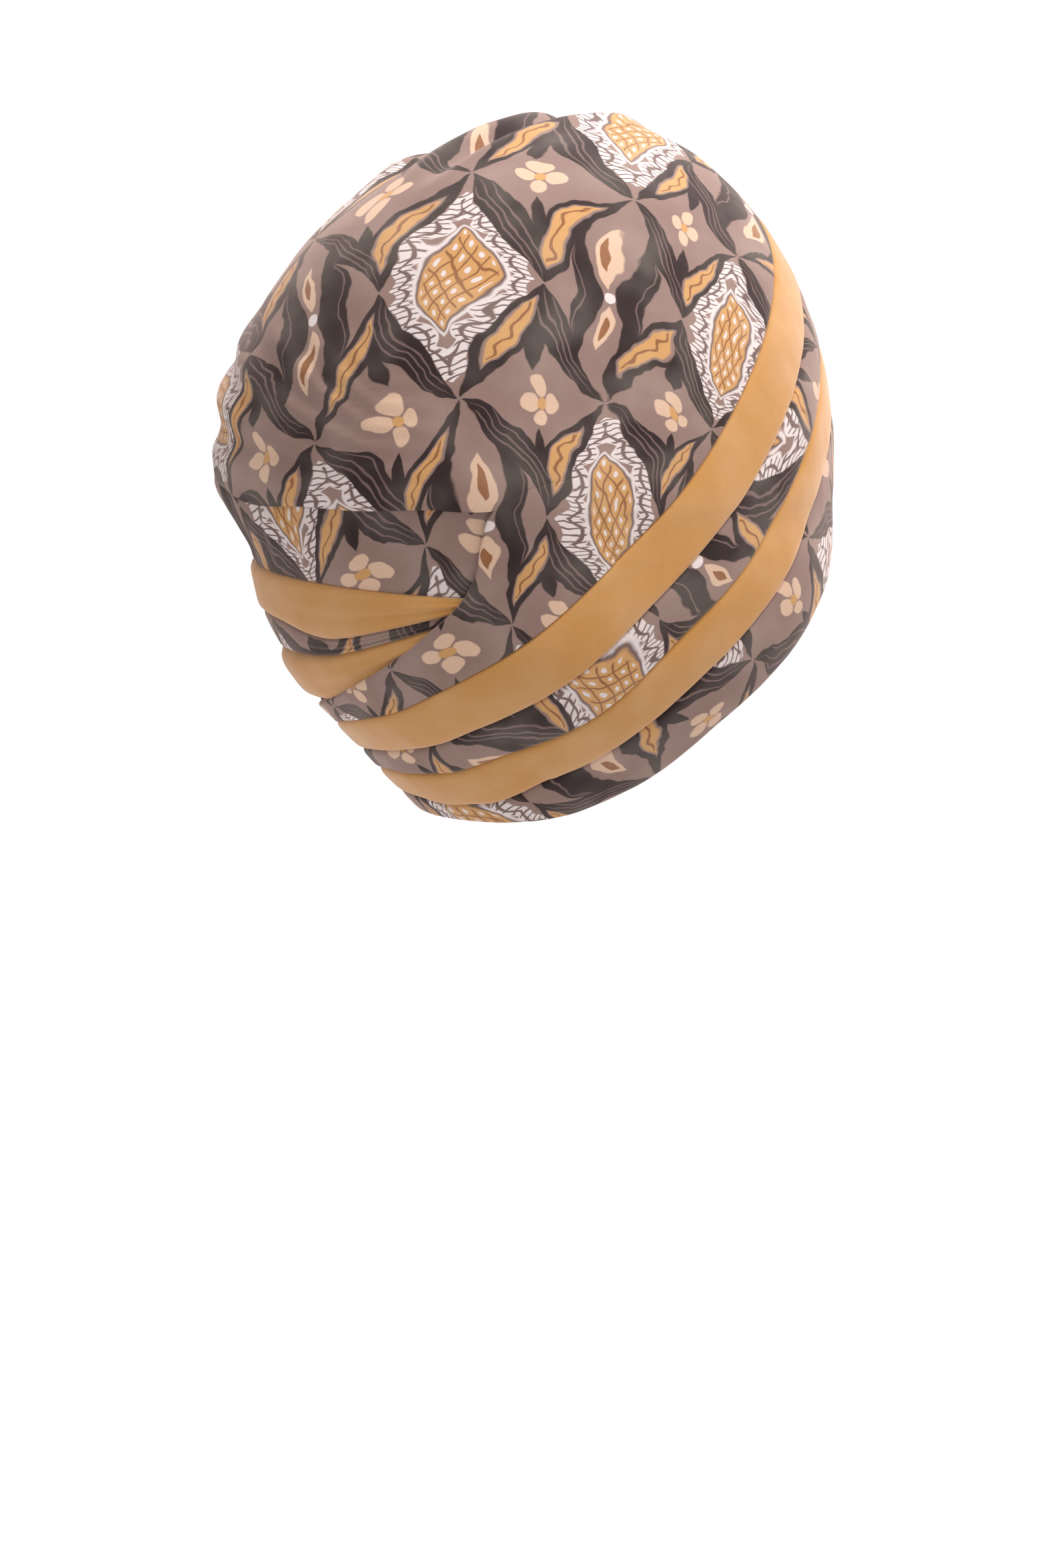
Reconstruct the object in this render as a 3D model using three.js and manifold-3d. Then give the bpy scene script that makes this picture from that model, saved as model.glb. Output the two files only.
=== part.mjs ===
// Turban cap of printed jersey with a striped headband that crosses over itself at the back.
// Millimetres, +Z up, face towards -Y, wearer's left at +X.
// The origin is the middle of the cap at its widest level, where the wearer's head holds it.
// A turn is an angle round the cap in degrees: 0 at the back, 90 at the wearer's right, 180 at the face.
// A pair of numbers is a range over which something comes in, from none at the first to all at the second.
import * as THREE from "three";
import Module from "manifold-3d";

// Form of the cap, taken from a head
const HALF_WIDTH = 83;
const FRONT_REACH = 94;
const BACK_REACH = 104;
const PLAN_POWER = 2.1;
const TOP_RISE = 114;
const TOP_POWER = 2.0;
const TOP_LEAN = 6;
const TOP_LEAN_POWER = 4;
const CHEEK_FLARE = 6.5;
const CHEEK_TURNS = [75, 125];
const CHEEK_HEIGHTS = [2, -34];

// Cloth
const CLOTH = 1.6;
const SEAM_GAP = 0.4;
const OVERLAP_LIFT = 2.4;
const OVERLAP_TURNS = [66, 42];

// Rim: level at the nape, rising to the forehead
const RIM_NAPE = -106.3;
const RIM_SLOPE = 1.25;
const RIM_TURN_Y = 2;
const RIM_SOFT = 12;

// Tuck at the back of the crown
const TUCK_OVERHANG = 2.5;
const TUCK_OVERHANG_FULL_AT = 3;
const TUCK_RECESS = 0.55;
const TUCK_RECESS_POWER = 1.2;
const TUCK_MIDDLE = 0.65;
const TUCK_PUFF = 0.45;
const TUCK_PUFF_RIGHT = [-4, -30];
const TUCK_PUFF_LEFT = [-100, -75];
const TUCK_LIP = 0.5;
const TUCK_INSIDE_BELOW = 2.4;
const TUCK_INSIDE_ABOVE = 0.4;
const TUCK_SETTLE = [0, 22];
const TUCK_ABOVE_SEAM = 6;
const TUCK_LEFT = [-110, -85];
const TUCK_RIGHT = [70, 55];

// Soft pleats over the top of the crown and gathers beside the crossing
const PLEAT_DEPTH = 2.6;
const PLEAT_SINK = 1.3;
const PLEAT_TURN = 47;
const PLEAT_BEND = 1.2;
const PLEAT_BEND_FROM = -2;
const PLEAT_BEND_SOFT = 5;
const PLEAT_HEIGHTS = [56, 90];
const PLEAT_BACK = [64, 34];
const PLEAT_LEFT = [64, 46];
const PLEAT_RIGHT = [-24, -2];
const PLEAT_SEAM = [0, 14];
const GATHER_DEPTH = 1.3;
const GATHER_PITCH = 19;
const GATHER_TURN = 38;
const GATHER_Z = 4;
const GATHER_REACH_PER_TURN = 1.75;
const GATHER_REACH = 120;
const GATHER_NEAREST = 40;
const GATHER_RIGHT = [34, -8];
const GATHER_LEFT = [-95, -55];
const GATHER_TOP = [56, 26];
const GATHER_FOOT = [-6, 8];

// Mesh and search steps
const TURN_STEP = 5;
const MARCH_STEP = 1.5;
const MARCH_LIMIT = 130;
const CROWN_ROWS = 16;
const CROWN_CROWDING = 1.12;
const TONGUE_ACROSS = 3;
const TONGUE_STEPS = 3;
const STRIP_ACROSS = 2;
const HEM_ACROSS = 3;
const NORMAL_TURN = 1;
const NORMAL_RISE = 0.4;
const PEAK_MARGIN = 0.01;
const PEAK_REACH = 0.5;
const HALVINGS = 40;
const HEADING_TURN = 0.5;

// Share of the plan outline at each height below the widest level
const LOWER_FORM = [
  { z: -118, share: 0.22 },
  { z: -104, share: 0.36 },
  { z: -92, share: 0.49 },
  { z: -80, share: 0.61 },
  { z: -65, share: 0.765 },
  { z: -50, share: 0.872 },
  { z: -30, share: 0.945 },
  { z: 0, share: 1.0 },
];

// Path of the headband's top edge: a tilted plane round the right side, face and left side,
// a level run across the back to the tucked end, and a tail that sinks past the nape to the left
const BAND_HEIGHT = 18;
const BAND_TILT = 1.114;
const BAND_SIDEWAYS = -0.1;
const BAND_BACK_LEVEL = -28.5;
const BAND_BACK_SOFT = 10;
const BAND_BACK_FROM = 200;
const BAND_PLANE_END = 330;
const BAND_RISE = 3.2;
const BAND_RISE_IN = [10, 36];
const BAND_RISE_OUT = [86, 54];
const TAIL_HEIGHT = -71.5;
const TAIL_SLOPE = 0.22;
const TAIL_TURNS = [26, -6];

// Widths of the band's strips along its run, drawn together at the tail and at the tucked end
const WRAP = [
  { turn: -80, upper: 4.0, middle: 3.2, lower: 4.0 },
  { turn: -55, upper: 7.0, middle: 6.0, lower: 7.0 },
  { turn: -30, upper: 11.0, middle: 8.5, lower: 11.5 },
  { turn: -5, upper: 15.5, middle: 11.0, lower: 17.0 },
  { turn: 15, upper: 18.5, middle: 14.0, lower: 19.0 },
  { turn: 42, upper: 21.0, middle: 18.3, lower: 20.6 },
  { turn: 70, upper: 21.0, middle: 17.6, lower: 18.6 },
  { turn: 100, upper: 21.0, middle: 16.5, lower: 16.8 },
  { turn: 250, upper: 21.0, middle: 16.5, lower: 19.0 },
  { turn: 310, upper: 15.5, middle: 14.5, lower: 19.0 },
  { turn: 345, upper: 16.2, middle: 12.0, lower: 18.5 },
  { turn: 362, upper: 19.0, middle: 6.0, lower: 17.0 },
  { turn: 380, upper: 11.5, middle: 3.6, lower: 10.5 },
  { turn: 392, upper: 5.0, middle: 2.6, lower: 5.0 },
  { turn: 400, upper: 3.4, middle: 2.4, lower: 3.4 },
];
const TAIL_TURN = -80;
const TUCKED_TURN = 400;
const TUCKED_TURNS = [300, 345];
const TUCKED_HEM = 12;
const TUCKED_HEM_FULL_AT = 17;
const LAP_END_TURN = 65;
const HEM_ORDER = 3;

// How far the crown stands off the form above the tuck, round the back
const BULGE = [
  { turn: -100, out: 0 },
  { turn: -75, out: 5 },
  { turn: -43, out: 8.5 },
  { turn: -20, out: 8 },
  { turn: 0, out: 6.5 },
  { turn: 20, out: 4.5 },
  { turn: 38, out: 2 },
  { turn: 60, out: 0 },
];

// Share of that stand-off at each rise above the tuck line
const TUCK = [
  { rise: -30, share: 0 },
  { rise: -14, share: 0.30 },
  { rise: 0, share: 0.80 },
  { rise: 18, share: 1.0 },
  { rise: 36, share: 0.84 },
  { rise: 54, share: 0.56 },
  { rise: 74, share: 0.30 },
  { rise: 96, share: 0.10 },
  { rise: 110, share: 0 },
];

// Tuck line round the back
const TUCK_LINE = [
  { turn: -110, z: 8 },
  { turn: -70, z: 5 },
  { turn: -30, z: 1 },
  { turn: -12, z: -0.8 },
  { turn: 0, z: -1.2 },
  { turn: 20, z: 1 },
  { turn: 40, z: 3 },
  { turn: 70, z: 6 },
];

// Pleats across the top, from left to right seen from the back: grooves at even folds, ridges at odd ones
const PLEATS = [
  { side: -75, fold: -4 },
  { side: -48, fold: -3 },
  { side: -31, fold: -2 },
  { side: -9, fold: -1 },
  { side: 5, fold: 0 },
  { side: 18, fold: 1 },
  { side: 42, fold: 2 },
  { side: 66, fold: 3 },
];

// Free edge of the tongue, and the turn where each line across it meets the headband
const TONGUE = [
  { step: 0, turn: -80, z: -86, foot: -80 },
  { step: 1, turn: -55, z: -79.5, foot: -55 },
  { step: 2, turn: -30, z: -73, foot: -30 },
  { step: 3, turn: -6, z: -66, foot: -6 },
  { step: 4, turn: 10, z: -56.5, foot: 11 },
  { step: 5, turn: 20, z: -47, foot: 22 },
  { step: 6, turn: 27, z: -37.5, foot: 30 },
  { step: 7, turn: 32, z: -29, foot: 36 },
  { step: 8, turn: 34.6, z: -20, foot: 41 },
  { step: 9, turn: 35.6, z: -10, foot: 45 },
  { step: 10, turn: 37.5, z: 0, foot: 50 },
  { step: 11, turn: 43, z: 7, foot: 55 },
  { step: 12, turn: 54, z: 12, foot: 62 },
];
const TONGUE_LIP = [28, 44];
const TONGUE_MERGE = [44, 61];
const TONGUE_SUNK = -0.4;
const TONGUE_THINNED = 0.7;

const RAD = Math.PI / 180;

function ramp([from, to], x) {
  const s = Math.min(1, Math.max(0, (x - from) / (to - from)));
  return s * s * (3 - 2 * s);
}

// Smooth curve through one column of a table
function along(table, key, column, x) {
  const last = table.length - 1;
  if (x <= table[0][key]) return table[0][column];
  if (x >= table[last][key]) return table[last][column];
  let i = 0;
  while (table[i + 1][key] < x) i += 1;
  const slope = (n) => {
    const a = table[Math.max(0, n - 1)];
    const b = table[Math.min(last, n + 1)];
    return (b[column] - a[column]) / (b[key] - a[key]);
  };
  const h = table[i + 1][key] - table[i][key];
  const s = (x - table[i][key]) / h;
  const near = (1 + 2 * s) * (1 - s) ** 2 * table[i][column] + s * (1 - s) ** 2 * h * slope(i);
  const far = s * s * (3 - 2 * s) * table[i + 1][column] + s * s * (s - 1) * h * slope(i + 1);
  return near + far;
}

function backTurn(turn) {
  return ((((turn + 180) % 360) + 360) % 360) - 180;
}

// Form

function planRadius(turn) {
  const side = Math.abs(Math.sin(turn * RAD)) / HALF_WIDTH;
  const reach = Math.cos(turn * RAD) < 0 ? FRONT_REACH : BACK_REACH;
  const length = Math.abs(Math.cos(turn * RAD)) / reach;
  return (side ** PLAN_POWER + length ** PLAN_POWER) ** (-1 / PLAN_POWER);
}

function heightShare(z) {
  if (z <= 0) return along(LOWER_FORM, "z", "share", z);
  return Math.max(0, 1 - Math.min(1, z / TOP_RISE) ** TOP_POWER) ** (1 / TOP_POWER);
}

function leanAt(z) {
  return -TOP_LEAN * Math.max(0, z / TOP_RISE) ** TOP_LEAN_POWER;
}

function formPoint(turn, z) {
  const flare = CHEEK_FLARE * ramp(CHEEK_TURNS, Math.abs(backTurn(turn))) * ramp(CHEEK_HEIGHTS, z);
  const r = planRadius(turn) * heightShare(z) + flare;
  return new THREE.Vector3(-r * Math.sin(turn * RAD), r * Math.cos(turn * RAD) + leanAt(z), z);
}

function formNormal(turn, z) {
  const high = Math.min(z + NORMAL_RISE, TOP_RISE - PEAK_MARGIN);
  const low = Math.min(z - NORMAL_RISE, TOP_RISE - PEAK_REACH);
  const round = formPoint(turn + NORMAL_TURN, z).sub(formPoint(turn - NORMAL_TURN, z));
  const up = formPoint(turn, high).sub(formPoint(turn, low));
  return round.cross(up).normalize();
}

// Point on the form moved out along its normal
function clothPoint(turn, z, out) {
  return formPoint(turn, z).addScaledVector(formNormal(turn, z), out);
}

function turnOf(point) {
  return Math.atan2(-point.x, point.y - leanAt(point.z)) / RAD;
}

function rimHeight(y) {
  return RIM_NAPE + RIM_SLOPE * RIM_SOFT * Math.log(1 + Math.exp((RIM_TURN_Y - y) / RIM_SOFT));
}

// Headband

// Height where the band's tilted plane meets the form
function planeHeight(turn) {
  let low = RIM_NAPE;
  let high = TOP_RISE;
  for (let i = 0; i < HALVINGS; i += 1) {
    const z = (low + high) / 2;
    const p = formPoint(turn, z);
    if (z > BAND_HEIGHT + BAND_SIDEWAYS * p.x - BAND_TILT * p.y) high = z;
    else low = z;
  }
  return (low + high) / 2;
}

function bandTop(turn) {
  if (turn > BAND_BACK_FROM) {
    const over = planeHeight(Math.min(turn, BAND_PLANE_END)) - BAND_BACK_LEVEL;
    return BAND_BACK_LEVEL + BAND_BACK_SOFT * Math.log(1 + Math.exp(over / BAND_BACK_SOFT));
  }
  const tail = ramp(TAIL_TURNS, turn);
  const rise = BAND_RISE * ramp(BAND_RISE_IN, turn) * ramp(BAND_RISE_OUT, turn);
  if (tail === 0) return planeHeight(turn) + rise;
  return (1 - tail) * planeHeight(Math.max(turn, 0)) + tail * (TAIL_HEIGHT + TAIL_SLOPE * turn) + rise;
}

function bandLift(turn) {
  return OVERLAP_LIFT * ramp(OVERLAP_TURNS, turn);
}

// Line across the band: walks down the form square to the band's top edge, as far as the rim
function lineAcross(turn) {
  const before = formPoint(turn - HEADING_TURN, bandTop(turn - HEADING_TURN));
  const after = formPoint(turn + HEADING_TURN, bandTop(turn + HEADING_TURN));
  const forward = after.sub(before).normalize();
  let point = formPoint(turn, bandTop(turn));
  let heading = new THREE.Vector3().crossVectors(forward, formNormal(turn, point.z));
  if (heading.z > 0) heading.negate();
  const line = [{ point, walked: 0, turn, z: point.z }];
  for (let walked = MARCH_STEP; walked < MARCH_LIMIT; walked += MARCH_STEP) {
    const here = line[line.length - 1];
    const normal = formNormal(here.turn, here.z);
    heading.addScaledVector(normal, -heading.dot(normal)).normalize();
    const ahead = point.clone().addScaledVector(heading, MARCH_STEP);
    const at = turnOf(ahead);
    const next = formPoint(at, ahead.z);
    const above = ahead.z - rimHeight(next.y);
    if (above <= 0) {
      const spare = here.z - rimHeight(point.y);
      const part = spare / (spare - above);
      const z = here.z + (ahead.z - here.z) * part;
      const turning = here.turn + backTurn(at - here.turn) * part;
      line.push({ point: formPoint(turning, z), walked: here.walked + MARCH_STEP * part, turn: turning, z });
      break;
    }
    heading = next.clone().sub(point);
    point = next;
    line.push({ point, walked, turn: at, z: ahead.z });
  }
  return line;
}

function placeOnLine(line, distance) {
  let i = 0;
  while (i < line.length - 2 && line[i + 1].walked < distance) i += 1;
  const a = line[i];
  const b = line[i + 1];
  const s = Math.min(1, Math.max(0, (distance - a.walked) / (b.walked - a.walked)));
  return { turn: a.turn + backTurn(b.turn - a.turn) * s, z: a.z + (b.z - a.z) * s };
}

// Distances along a line across the band where its strips begin and end
function stripEdges(turn, length) {
  const upper = along(WRAP, "turn", "upper", turn);
  const middle = along(WRAP, "turn", "middle", turn);
  const lower = along(WRAP, "turn", "lower", turn);
  const tucked = ramp(TUCKED_TURNS, turn);
  const hem = upper + middle + lower;
  const end = length + (hem + (TUCKED_HEM * lower) / TUCKED_HEM_FULL_AT - length) * tucked;
  return [0, upper, upper + middle, hem, end];
}

// Closed sheet from rows of outer points and rows of inner points
function sheet(outer, inner) {
  const rows = outer.length;
  const wide = outer[0].length;
  const positions = [];
  const add = (p) => positions.push(p.x, p.y, p.z);
  outer.forEach((row) => row.forEach(add));
  inner.forEach((row) => row.forEach(add));
  const o = (i, j) => i * wide + j;
  const n = (i, j) => rows * wide + i * wide + j;
  const index = [];
  const quad = (a, b, c, d) => index.push(a, b, c, a, c, d);
  for (let i = 0; i < rows - 1; i += 1) {
    for (let j = 0; j < wide - 1; j += 1) {
      quad(o(i, j), o(i, j + 1), o(i + 1, j + 1), o(i + 1, j));
      quad(n(i, j), n(i + 1, j), n(i + 1, j + 1), n(i, j + 1));
    }
    quad(o(i, 0), o(i + 1, 0), n(i + 1, 0), n(i, 0));
    quad(o(i, wide - 1), n(i, wide - 1), n(i + 1, wide - 1), o(i + 1, wide - 1));
  }
  for (let j = 0; j < wide - 1; j += 1) {
    quad(o(0, j), n(0, j), n(0, j + 1), o(0, j + 1));
    quad(o(rows - 1, j), o(rows - 1, j + 1), n(rows - 1, j + 1), n(rows - 1, j));
  }
  return geometryOf(positions, index);
}

function geometryOf(positions, index) {
  const geometry = new THREE.BufferGeometry();
  geometry.setAttribute("position", new THREE.Float32BufferAttribute(positions, 3));
  geometry.setIndex(index);
  return geometry;
}

// One strip of the band by its order from the top edge: the hem runs down to the rim with no gap below it
function strip(lines, order, across) {
  const outer = [];
  const inner = [];
  for (const { turn, line } of lines) {
    const edges = stripEdges(turn, line[line.length - 1].walked);
    const from = edges[order] + SEAM_GAP / 2;
    const to = edges[order + 1] - (order === HEM_ORDER ? 0 : SEAM_GAP / 2);
    const lift = bandLift(turn);
    const outRow = [];
    const inRow = [];
    for (let k = 0; k <= across; k += 1) {
      const place = placeOnLine(line, from + ((to - from) * k) / across);
      outRow.push(clothPoint(place.turn, place.z, lift));
      inRow.push(clothPoint(place.turn, place.z, lift - CLOTH));
    }
    outer.push(outRow);
    inner.push(inRow);
  }
  return sheet(outer, inner);
}

// Crown

function crownFoot(turn) {
  const back = backTurn(turn);
  const over = bandTop(back < TAIL_TURN ? back + 360 : back);
  if (back < LAP_END_TURN && back >= TAIL_TURN) return Math.max(over, bandTop(back + 360));
  return over;
}

function tuckLine(turn) {
  const back = backTurn(turn);
  const lowest = crownFoot(turn) + TUCK_ABOVE_SEAM;
  const line = along(TUCK_LINE, "turn", "z", back);
  const share = ramp(TUCK_LEFT, back) * ramp(TUCK_RIGHT, back);
  return Math.max(lowest, lowest + (line - lowest) * share);
}

function bulgeAt(turn) {
  return along(BULGE, "turn", "out", backTurn(turn));
}

// Pleats run over the top from the left of the forehead, then bend towards the back
function pleatAt(p) {
  const near = p.y * Math.cos(PLEAT_TURN * RAD) - p.x * Math.sin(PLEAT_TURN * RAD);
  const side = -p.x * Math.cos(PLEAT_TURN * RAD) - p.y * Math.sin(PLEAT_TURN * RAD);
  const past = Math.log(1 + Math.exp((near - PLEAT_BEND_FROM) / PLEAT_BEND_SOFT));
  const bend = PLEAT_BEND * PLEAT_BEND_SOFT * past;
  return -PLEAT_SINK - PLEAT_DEPTH * Math.cos(Math.PI * along(PLEATS, "side", "fold", side + bend));
}

// Pleats, and gathers that fan out above the tuck from the crossing
function foldsAt(turn, z) {
  const p = formPoint(turn, z);
  const upShare = ramp(PLEAT_HEIGHTS, z) * ramp(PLEAT_BACK, p.y);
  const topShare = upShare * ramp(PLEAT_LEFT, p.x) * ramp(PLEAT_RIGHT, p.x);
  const seamShare = ramp(PLEAT_SEAM, z - crownFoot(turn));
  const pleat = pleatAt(p) * topShare * seamShare;
  const back = backTurn(turn);
  const reach = (GATHER_TURN - back) * GATHER_REACH_PER_TURN;
  const fan = (z - GATHER_Z) * (GATHER_REACH / Math.max(GATHER_NEAREST, reach));
  const sideShare = ramp(GATHER_RIGHT, back) * ramp(GATHER_LEFT, back);
  const backShare = sideShare * ramp(GATHER_TOP, z) * ramp(GATHER_FOOT, z);
  const gather = GATHER_DEPTH * Math.cos((2 * Math.PI * fan) / GATHER_PITCH) * backShare;
  return pleat + gather;
}

function crownOut(turn, z) {
  const rise = z - tuckLine(turn);
  return bulgeAt(turn) * along(TUCK, "rise", "share", rise) + foldsAt(turn, z);
}

// One upright line of the crown, from its lower edge to the top: outer and inner points
function crownLine(turn) {
  const foot = crownFoot(turn) + SEAM_GAP / 2;
  const tuck = tuckLine(turn);
  const bulge = bulgeAt(turn);
  const hang = TUCK_OVERHANG * Math.min(1, bulge / TUCK_OVERHANG_FULL_AT);
  const recess = bulge * TUCK_RECESS;
  const outer = [];
  const inner = [];
  const put = (z, out, innerZ, innerOut) => {
    outer.push(clothPoint(turn, z, out));
    inner.push(clothPoint(turn, innerZ, innerOut - CLOTH));
  };
  const back = backTurn(turn);
  const puff = TUCK_PUFF * ramp(TUCK_PUFF_RIGHT, back) * ramp(TUCK_PUFF_LEFT, back);
  const middle = foot + (tuck - TUCK_LIP - foot) * TUCK_MIDDLE;
  const middleOut = recess * TUCK_MIDDLE ** TUCK_RECESS_POWER + bulge * puff;
  put(foot, 0, foot, 0);
  put(middle, middleOut, middle, middleOut);
  put(tuck - TUCK_LIP, recess, tuck - TUCK_INSIDE_BELOW, recess);
  put(tuck + TUCK_LIP - hang, crownOut(turn, tuck), tuck + TUCK_INSIDE_ABOVE, recess);
  const start = Math.asin(Math.min(1, Math.max(-1, tuck / TOP_RISE))) / RAD;
  for (let i = 1; i < CROWN_ROWS; i += 1) {
    const latitude = start + (90 - start) * (i / CROWN_ROWS) ** CROWN_CROWDING;
    const z = TOP_RISE * Math.sin(latitude * RAD);
    const settle = TUCK_RECESS + (1 - TUCK_RECESS) * ramp(TUCK_SETTLE, z - tuck);
    const out = crownOut(turn, z);
    put(z, out, z, Math.min(out, bulge * settle + foldsAt(turn, z)));
  }
  return { outer, inner };
}

function crownDome() {
  const lines = [];
  for (let turn = 0; turn < 360; turn += TURN_STEP) lines.push(crownLine(turn));
  const tall = lines[0].outer.length;
  const count = lines.length;
  const positions = [];
  const add = (p) => positions.push(p.x, p.y, p.z);
  lines.forEach((line) => line.outer.forEach(add));
  lines.forEach((line) => line.inner.forEach(add));
  const peak = formPoint(0, TOP_RISE);
  peak.z += foldsAt(180, TOP_RISE);
  add(peak);
  add(new THREE.Vector3(peak.x, peak.y, peak.z - CLOTH));
  const o = (j, i) => (j % count) * tall + i;
  const n = (j, i) => count * tall + (j % count) * tall + i;
  const outTop = 2 * count * tall;
  const index = [];
  const quad = (a, b, c, d) => index.push(a, b, c, a, c, d);
  for (let j = 0; j < count; j += 1) {
    for (let i = 0; i < tall - 1; i += 1) {
      quad(o(j, i), o(j + 1, i), o(j + 1, i + 1), o(j, i + 1));
      quad(n(j, i), n(j, i + 1), n(j + 1, i + 1), n(j + 1, i));
    }
    index.push(o(j, tall - 1), o(j + 1, tall - 1), outTop);
    index.push(n(j, tall - 1), outTop + 1, n(j + 1, tall - 1));
    quad(o(j, 0), n(j, 0), n(j + 1, 0), o(j + 1, 0));
  }
  return geometryOf(positions, index);
}

// Tongue of the crown that laps over the tucked end of the band
function crownTongue() {
  const outer = [];
  const inner = [];
  const count = (TONGUE.length - 1) * TONGUE_STEPS;
  for (let i = 0; i <= count; i += 1) {
    const step = i / TONGUE_STEPS;
    const edgeTurn = along(TONGUE, "step", "turn", step);
    const edgeZ = along(TONGUE, "step", "z", step);
    const foot = along(TONGUE, "step", "foot", step);
    const footZ = bandTop(foot) + SEAM_GAP / 2;
    const merge = ramp(TONGUE_MERGE, foot);
    const lift = OVERLAP_LIFT + (TONGUE_SUNK - OVERLAP_LIFT) * merge;
    const thick = CLOTH - TONGUE_THINNED * merge;
    const outRow = [];
    const inRow = [];
    for (let k = 0; k <= TONGUE_ACROSS; k += 1) {
      const share = k / TONGUE_ACROSS;
      const turn = edgeTurn + (foot - edgeTurn) * share;
      const z = edgeZ + (footZ - edgeZ) * share;
      const out = lift + crownOut(turn, z) * ramp(TONGUE_LIP, foot);
      outRow.push(clothPoint(turn, z, out));
      inRow.push(clothPoint(turn, z, out - thick));
    }
    outer.push(outRow);
    inner.push(inRow);
  }
  return sheet(outer, inner);
}

// Solids

const kernel = await Module();
kernel.setup();

function solidOf(geometry) {
  const vertProperties = new Float32Array(geometry.getAttribute("position").array);
  const triVerts = new Uint32Array(geometry.getIndex().array);
  return new kernel.Manifold(new kernel.Mesh({ numProp: 3, vertProperties, triVerts }));
}

function joined(first, second) {
  const mesh = solidOf(first).add(solidOf(second)).getMesh();
  return geometryOf(Array.from(mesh.vertProperties), Array.from(mesh.triVerts));
}

const printCloth = new THREE.MeshStandardMaterial({ color: 0x8a746c, roughness: 0.9 });
const bandPrint = new THREE.MeshStandardMaterial({ color: 0x5a4c4a, roughness: 0.9 });
const mustard = new THREE.MeshStandardMaterial({ color: 0xc8934e, roughness: 0.9 });

const lines = [];
for (let turn = TAIL_TURN; turn <= TUCKED_TURN; turn += TURN_STEP) {
  lines.push({ turn, line: lineAcross(turn) });
}

const group = new THREE.Group();
function piece(name, geometry, material) {
  geometry.computeVertexNormals();
  const mesh = new THREE.Mesh(geometry, material);
  mesh.name = name;
  group.add(mesh);
}

piece("crown", joined(crownDome(), crownTongue()), printCloth);
piece("stripe_upper", strip(lines, 0, STRIP_ACROSS), mustard);
piece("band_middle", strip(lines, 1, STRIP_ACROSS), bandPrint);
piece("stripe_lower", strip(lines, 2, STRIP_ACROSS), mustard);
piece("band_hem", strip(lines, HEM_ORDER, HEM_ACROSS), bandPrint);

export default group;
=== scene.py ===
# Turban cap of printed jersey with a striped headband that crosses over itself at the back.
# Millimetres until a mesh is made, +Z up, face towards -Y, wearer's left at +X.
# A turn is an angle round the cap in degrees: 0 at the back, 90 at the wearer's right, 180 at the face.
# ramp takes a range over which something comes in, from none at its first number to all at its second.
import math

import bpy
import numpy as np
from mathutils import Matrix, Vector


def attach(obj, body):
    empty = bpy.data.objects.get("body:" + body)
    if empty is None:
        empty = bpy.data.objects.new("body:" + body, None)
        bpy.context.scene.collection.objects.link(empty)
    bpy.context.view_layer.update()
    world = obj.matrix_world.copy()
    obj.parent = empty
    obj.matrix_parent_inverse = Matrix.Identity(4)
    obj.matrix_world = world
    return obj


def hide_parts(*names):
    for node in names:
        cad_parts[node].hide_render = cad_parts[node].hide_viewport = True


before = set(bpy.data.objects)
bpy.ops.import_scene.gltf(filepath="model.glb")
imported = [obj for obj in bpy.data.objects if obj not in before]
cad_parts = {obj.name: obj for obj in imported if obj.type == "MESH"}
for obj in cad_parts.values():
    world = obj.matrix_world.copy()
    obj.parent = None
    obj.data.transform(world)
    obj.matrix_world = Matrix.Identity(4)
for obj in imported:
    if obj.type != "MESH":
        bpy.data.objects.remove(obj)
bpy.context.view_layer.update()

MM = 0.001
FACE_TURN = 180.0

# Form of the cap
HALF_WIDTH = 83.0
FRONT_REACH = 94.0
BACK_REACH = 104.0
PLAN_POWER = 2.1
TOP_RISE = 114.0
TOP_POWER = 2.0
TOP_LEAN = 6.0
TOP_LEAN_POWER = 4
CHEEK_FLARE = 6.5
CHEEK_TURNS = (75, 125)
CHEEK_HEIGHTS = (2, -34)

# Cloth and seams
JERSEY = 0.8
OVERLAP_LIFT = 2.4
OVERLAP_TURNS = (66, 42)
SEAM_UNDER = 3.0
SEAM_CLEAR = 0.2
SHARP_EDGE = math.radians(70)

# Rim: level at the nape, rising to the forehead
RIM_NAPE = -106.3
RIM_SLOPE = 1.25
RIM_TURN_Y = 2.0
RIM_SOFT = 12.0

# Tuck at the back of the crown
TUCK_OVERHANG = 2.5
TUCK_OVERHANG_FULL_AT = 3
TUCK_ABOVE_SEAM = 6
TUCK_LEFT = (-110, -85)
TUCK_RIGHT = (70, 55)
TUCK_ENDS = (37, 46)
TUCK_RECESS = 0.55
TUCK_RECESS_POWER = 1.2
TUCK_PUFF = 0.33
TUCK_PUFF_RIGHT = (-4, -30)
TUCK_PUFF_LEFT = (-100, -75)
TUCK_PUFF_RISE = (0.1, 0.8)
LIP_COVER = 1.2
LIP_SINK = 0.20
LIP_SINK_RISE = (0.86, 1)
LIP_PROUD = 0.50
LIP_FADE = (14, 0)
SEAM_DIP = 0.5
SEAM_DIP_POWER = 4

# Small waves of the tuck line (height, pitch, start) and gathers in the recess under the lip
TUCK_WAVES = ((0.9, 9, 0), (0.6, 4.1, 1))
RECESS_GATHER = 0.55
RECESS_GATHER_RATE = 0.74
RECESS_GATHER_START = 0.8
RECESS_FINE_GATHER = 0.35
RECESS_FINE_RATE = 1.24
RECESS_FINE_DRIFT = 2.1
RECESS_FINE_DRIFT_PITCH = 17
RECESS_GATHER_LEFT = (-82, -60)
RECESS_GATHER_RIGHT = (36, 24)
RECESS_GATHER_RISE = (0, 0.4)

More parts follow.
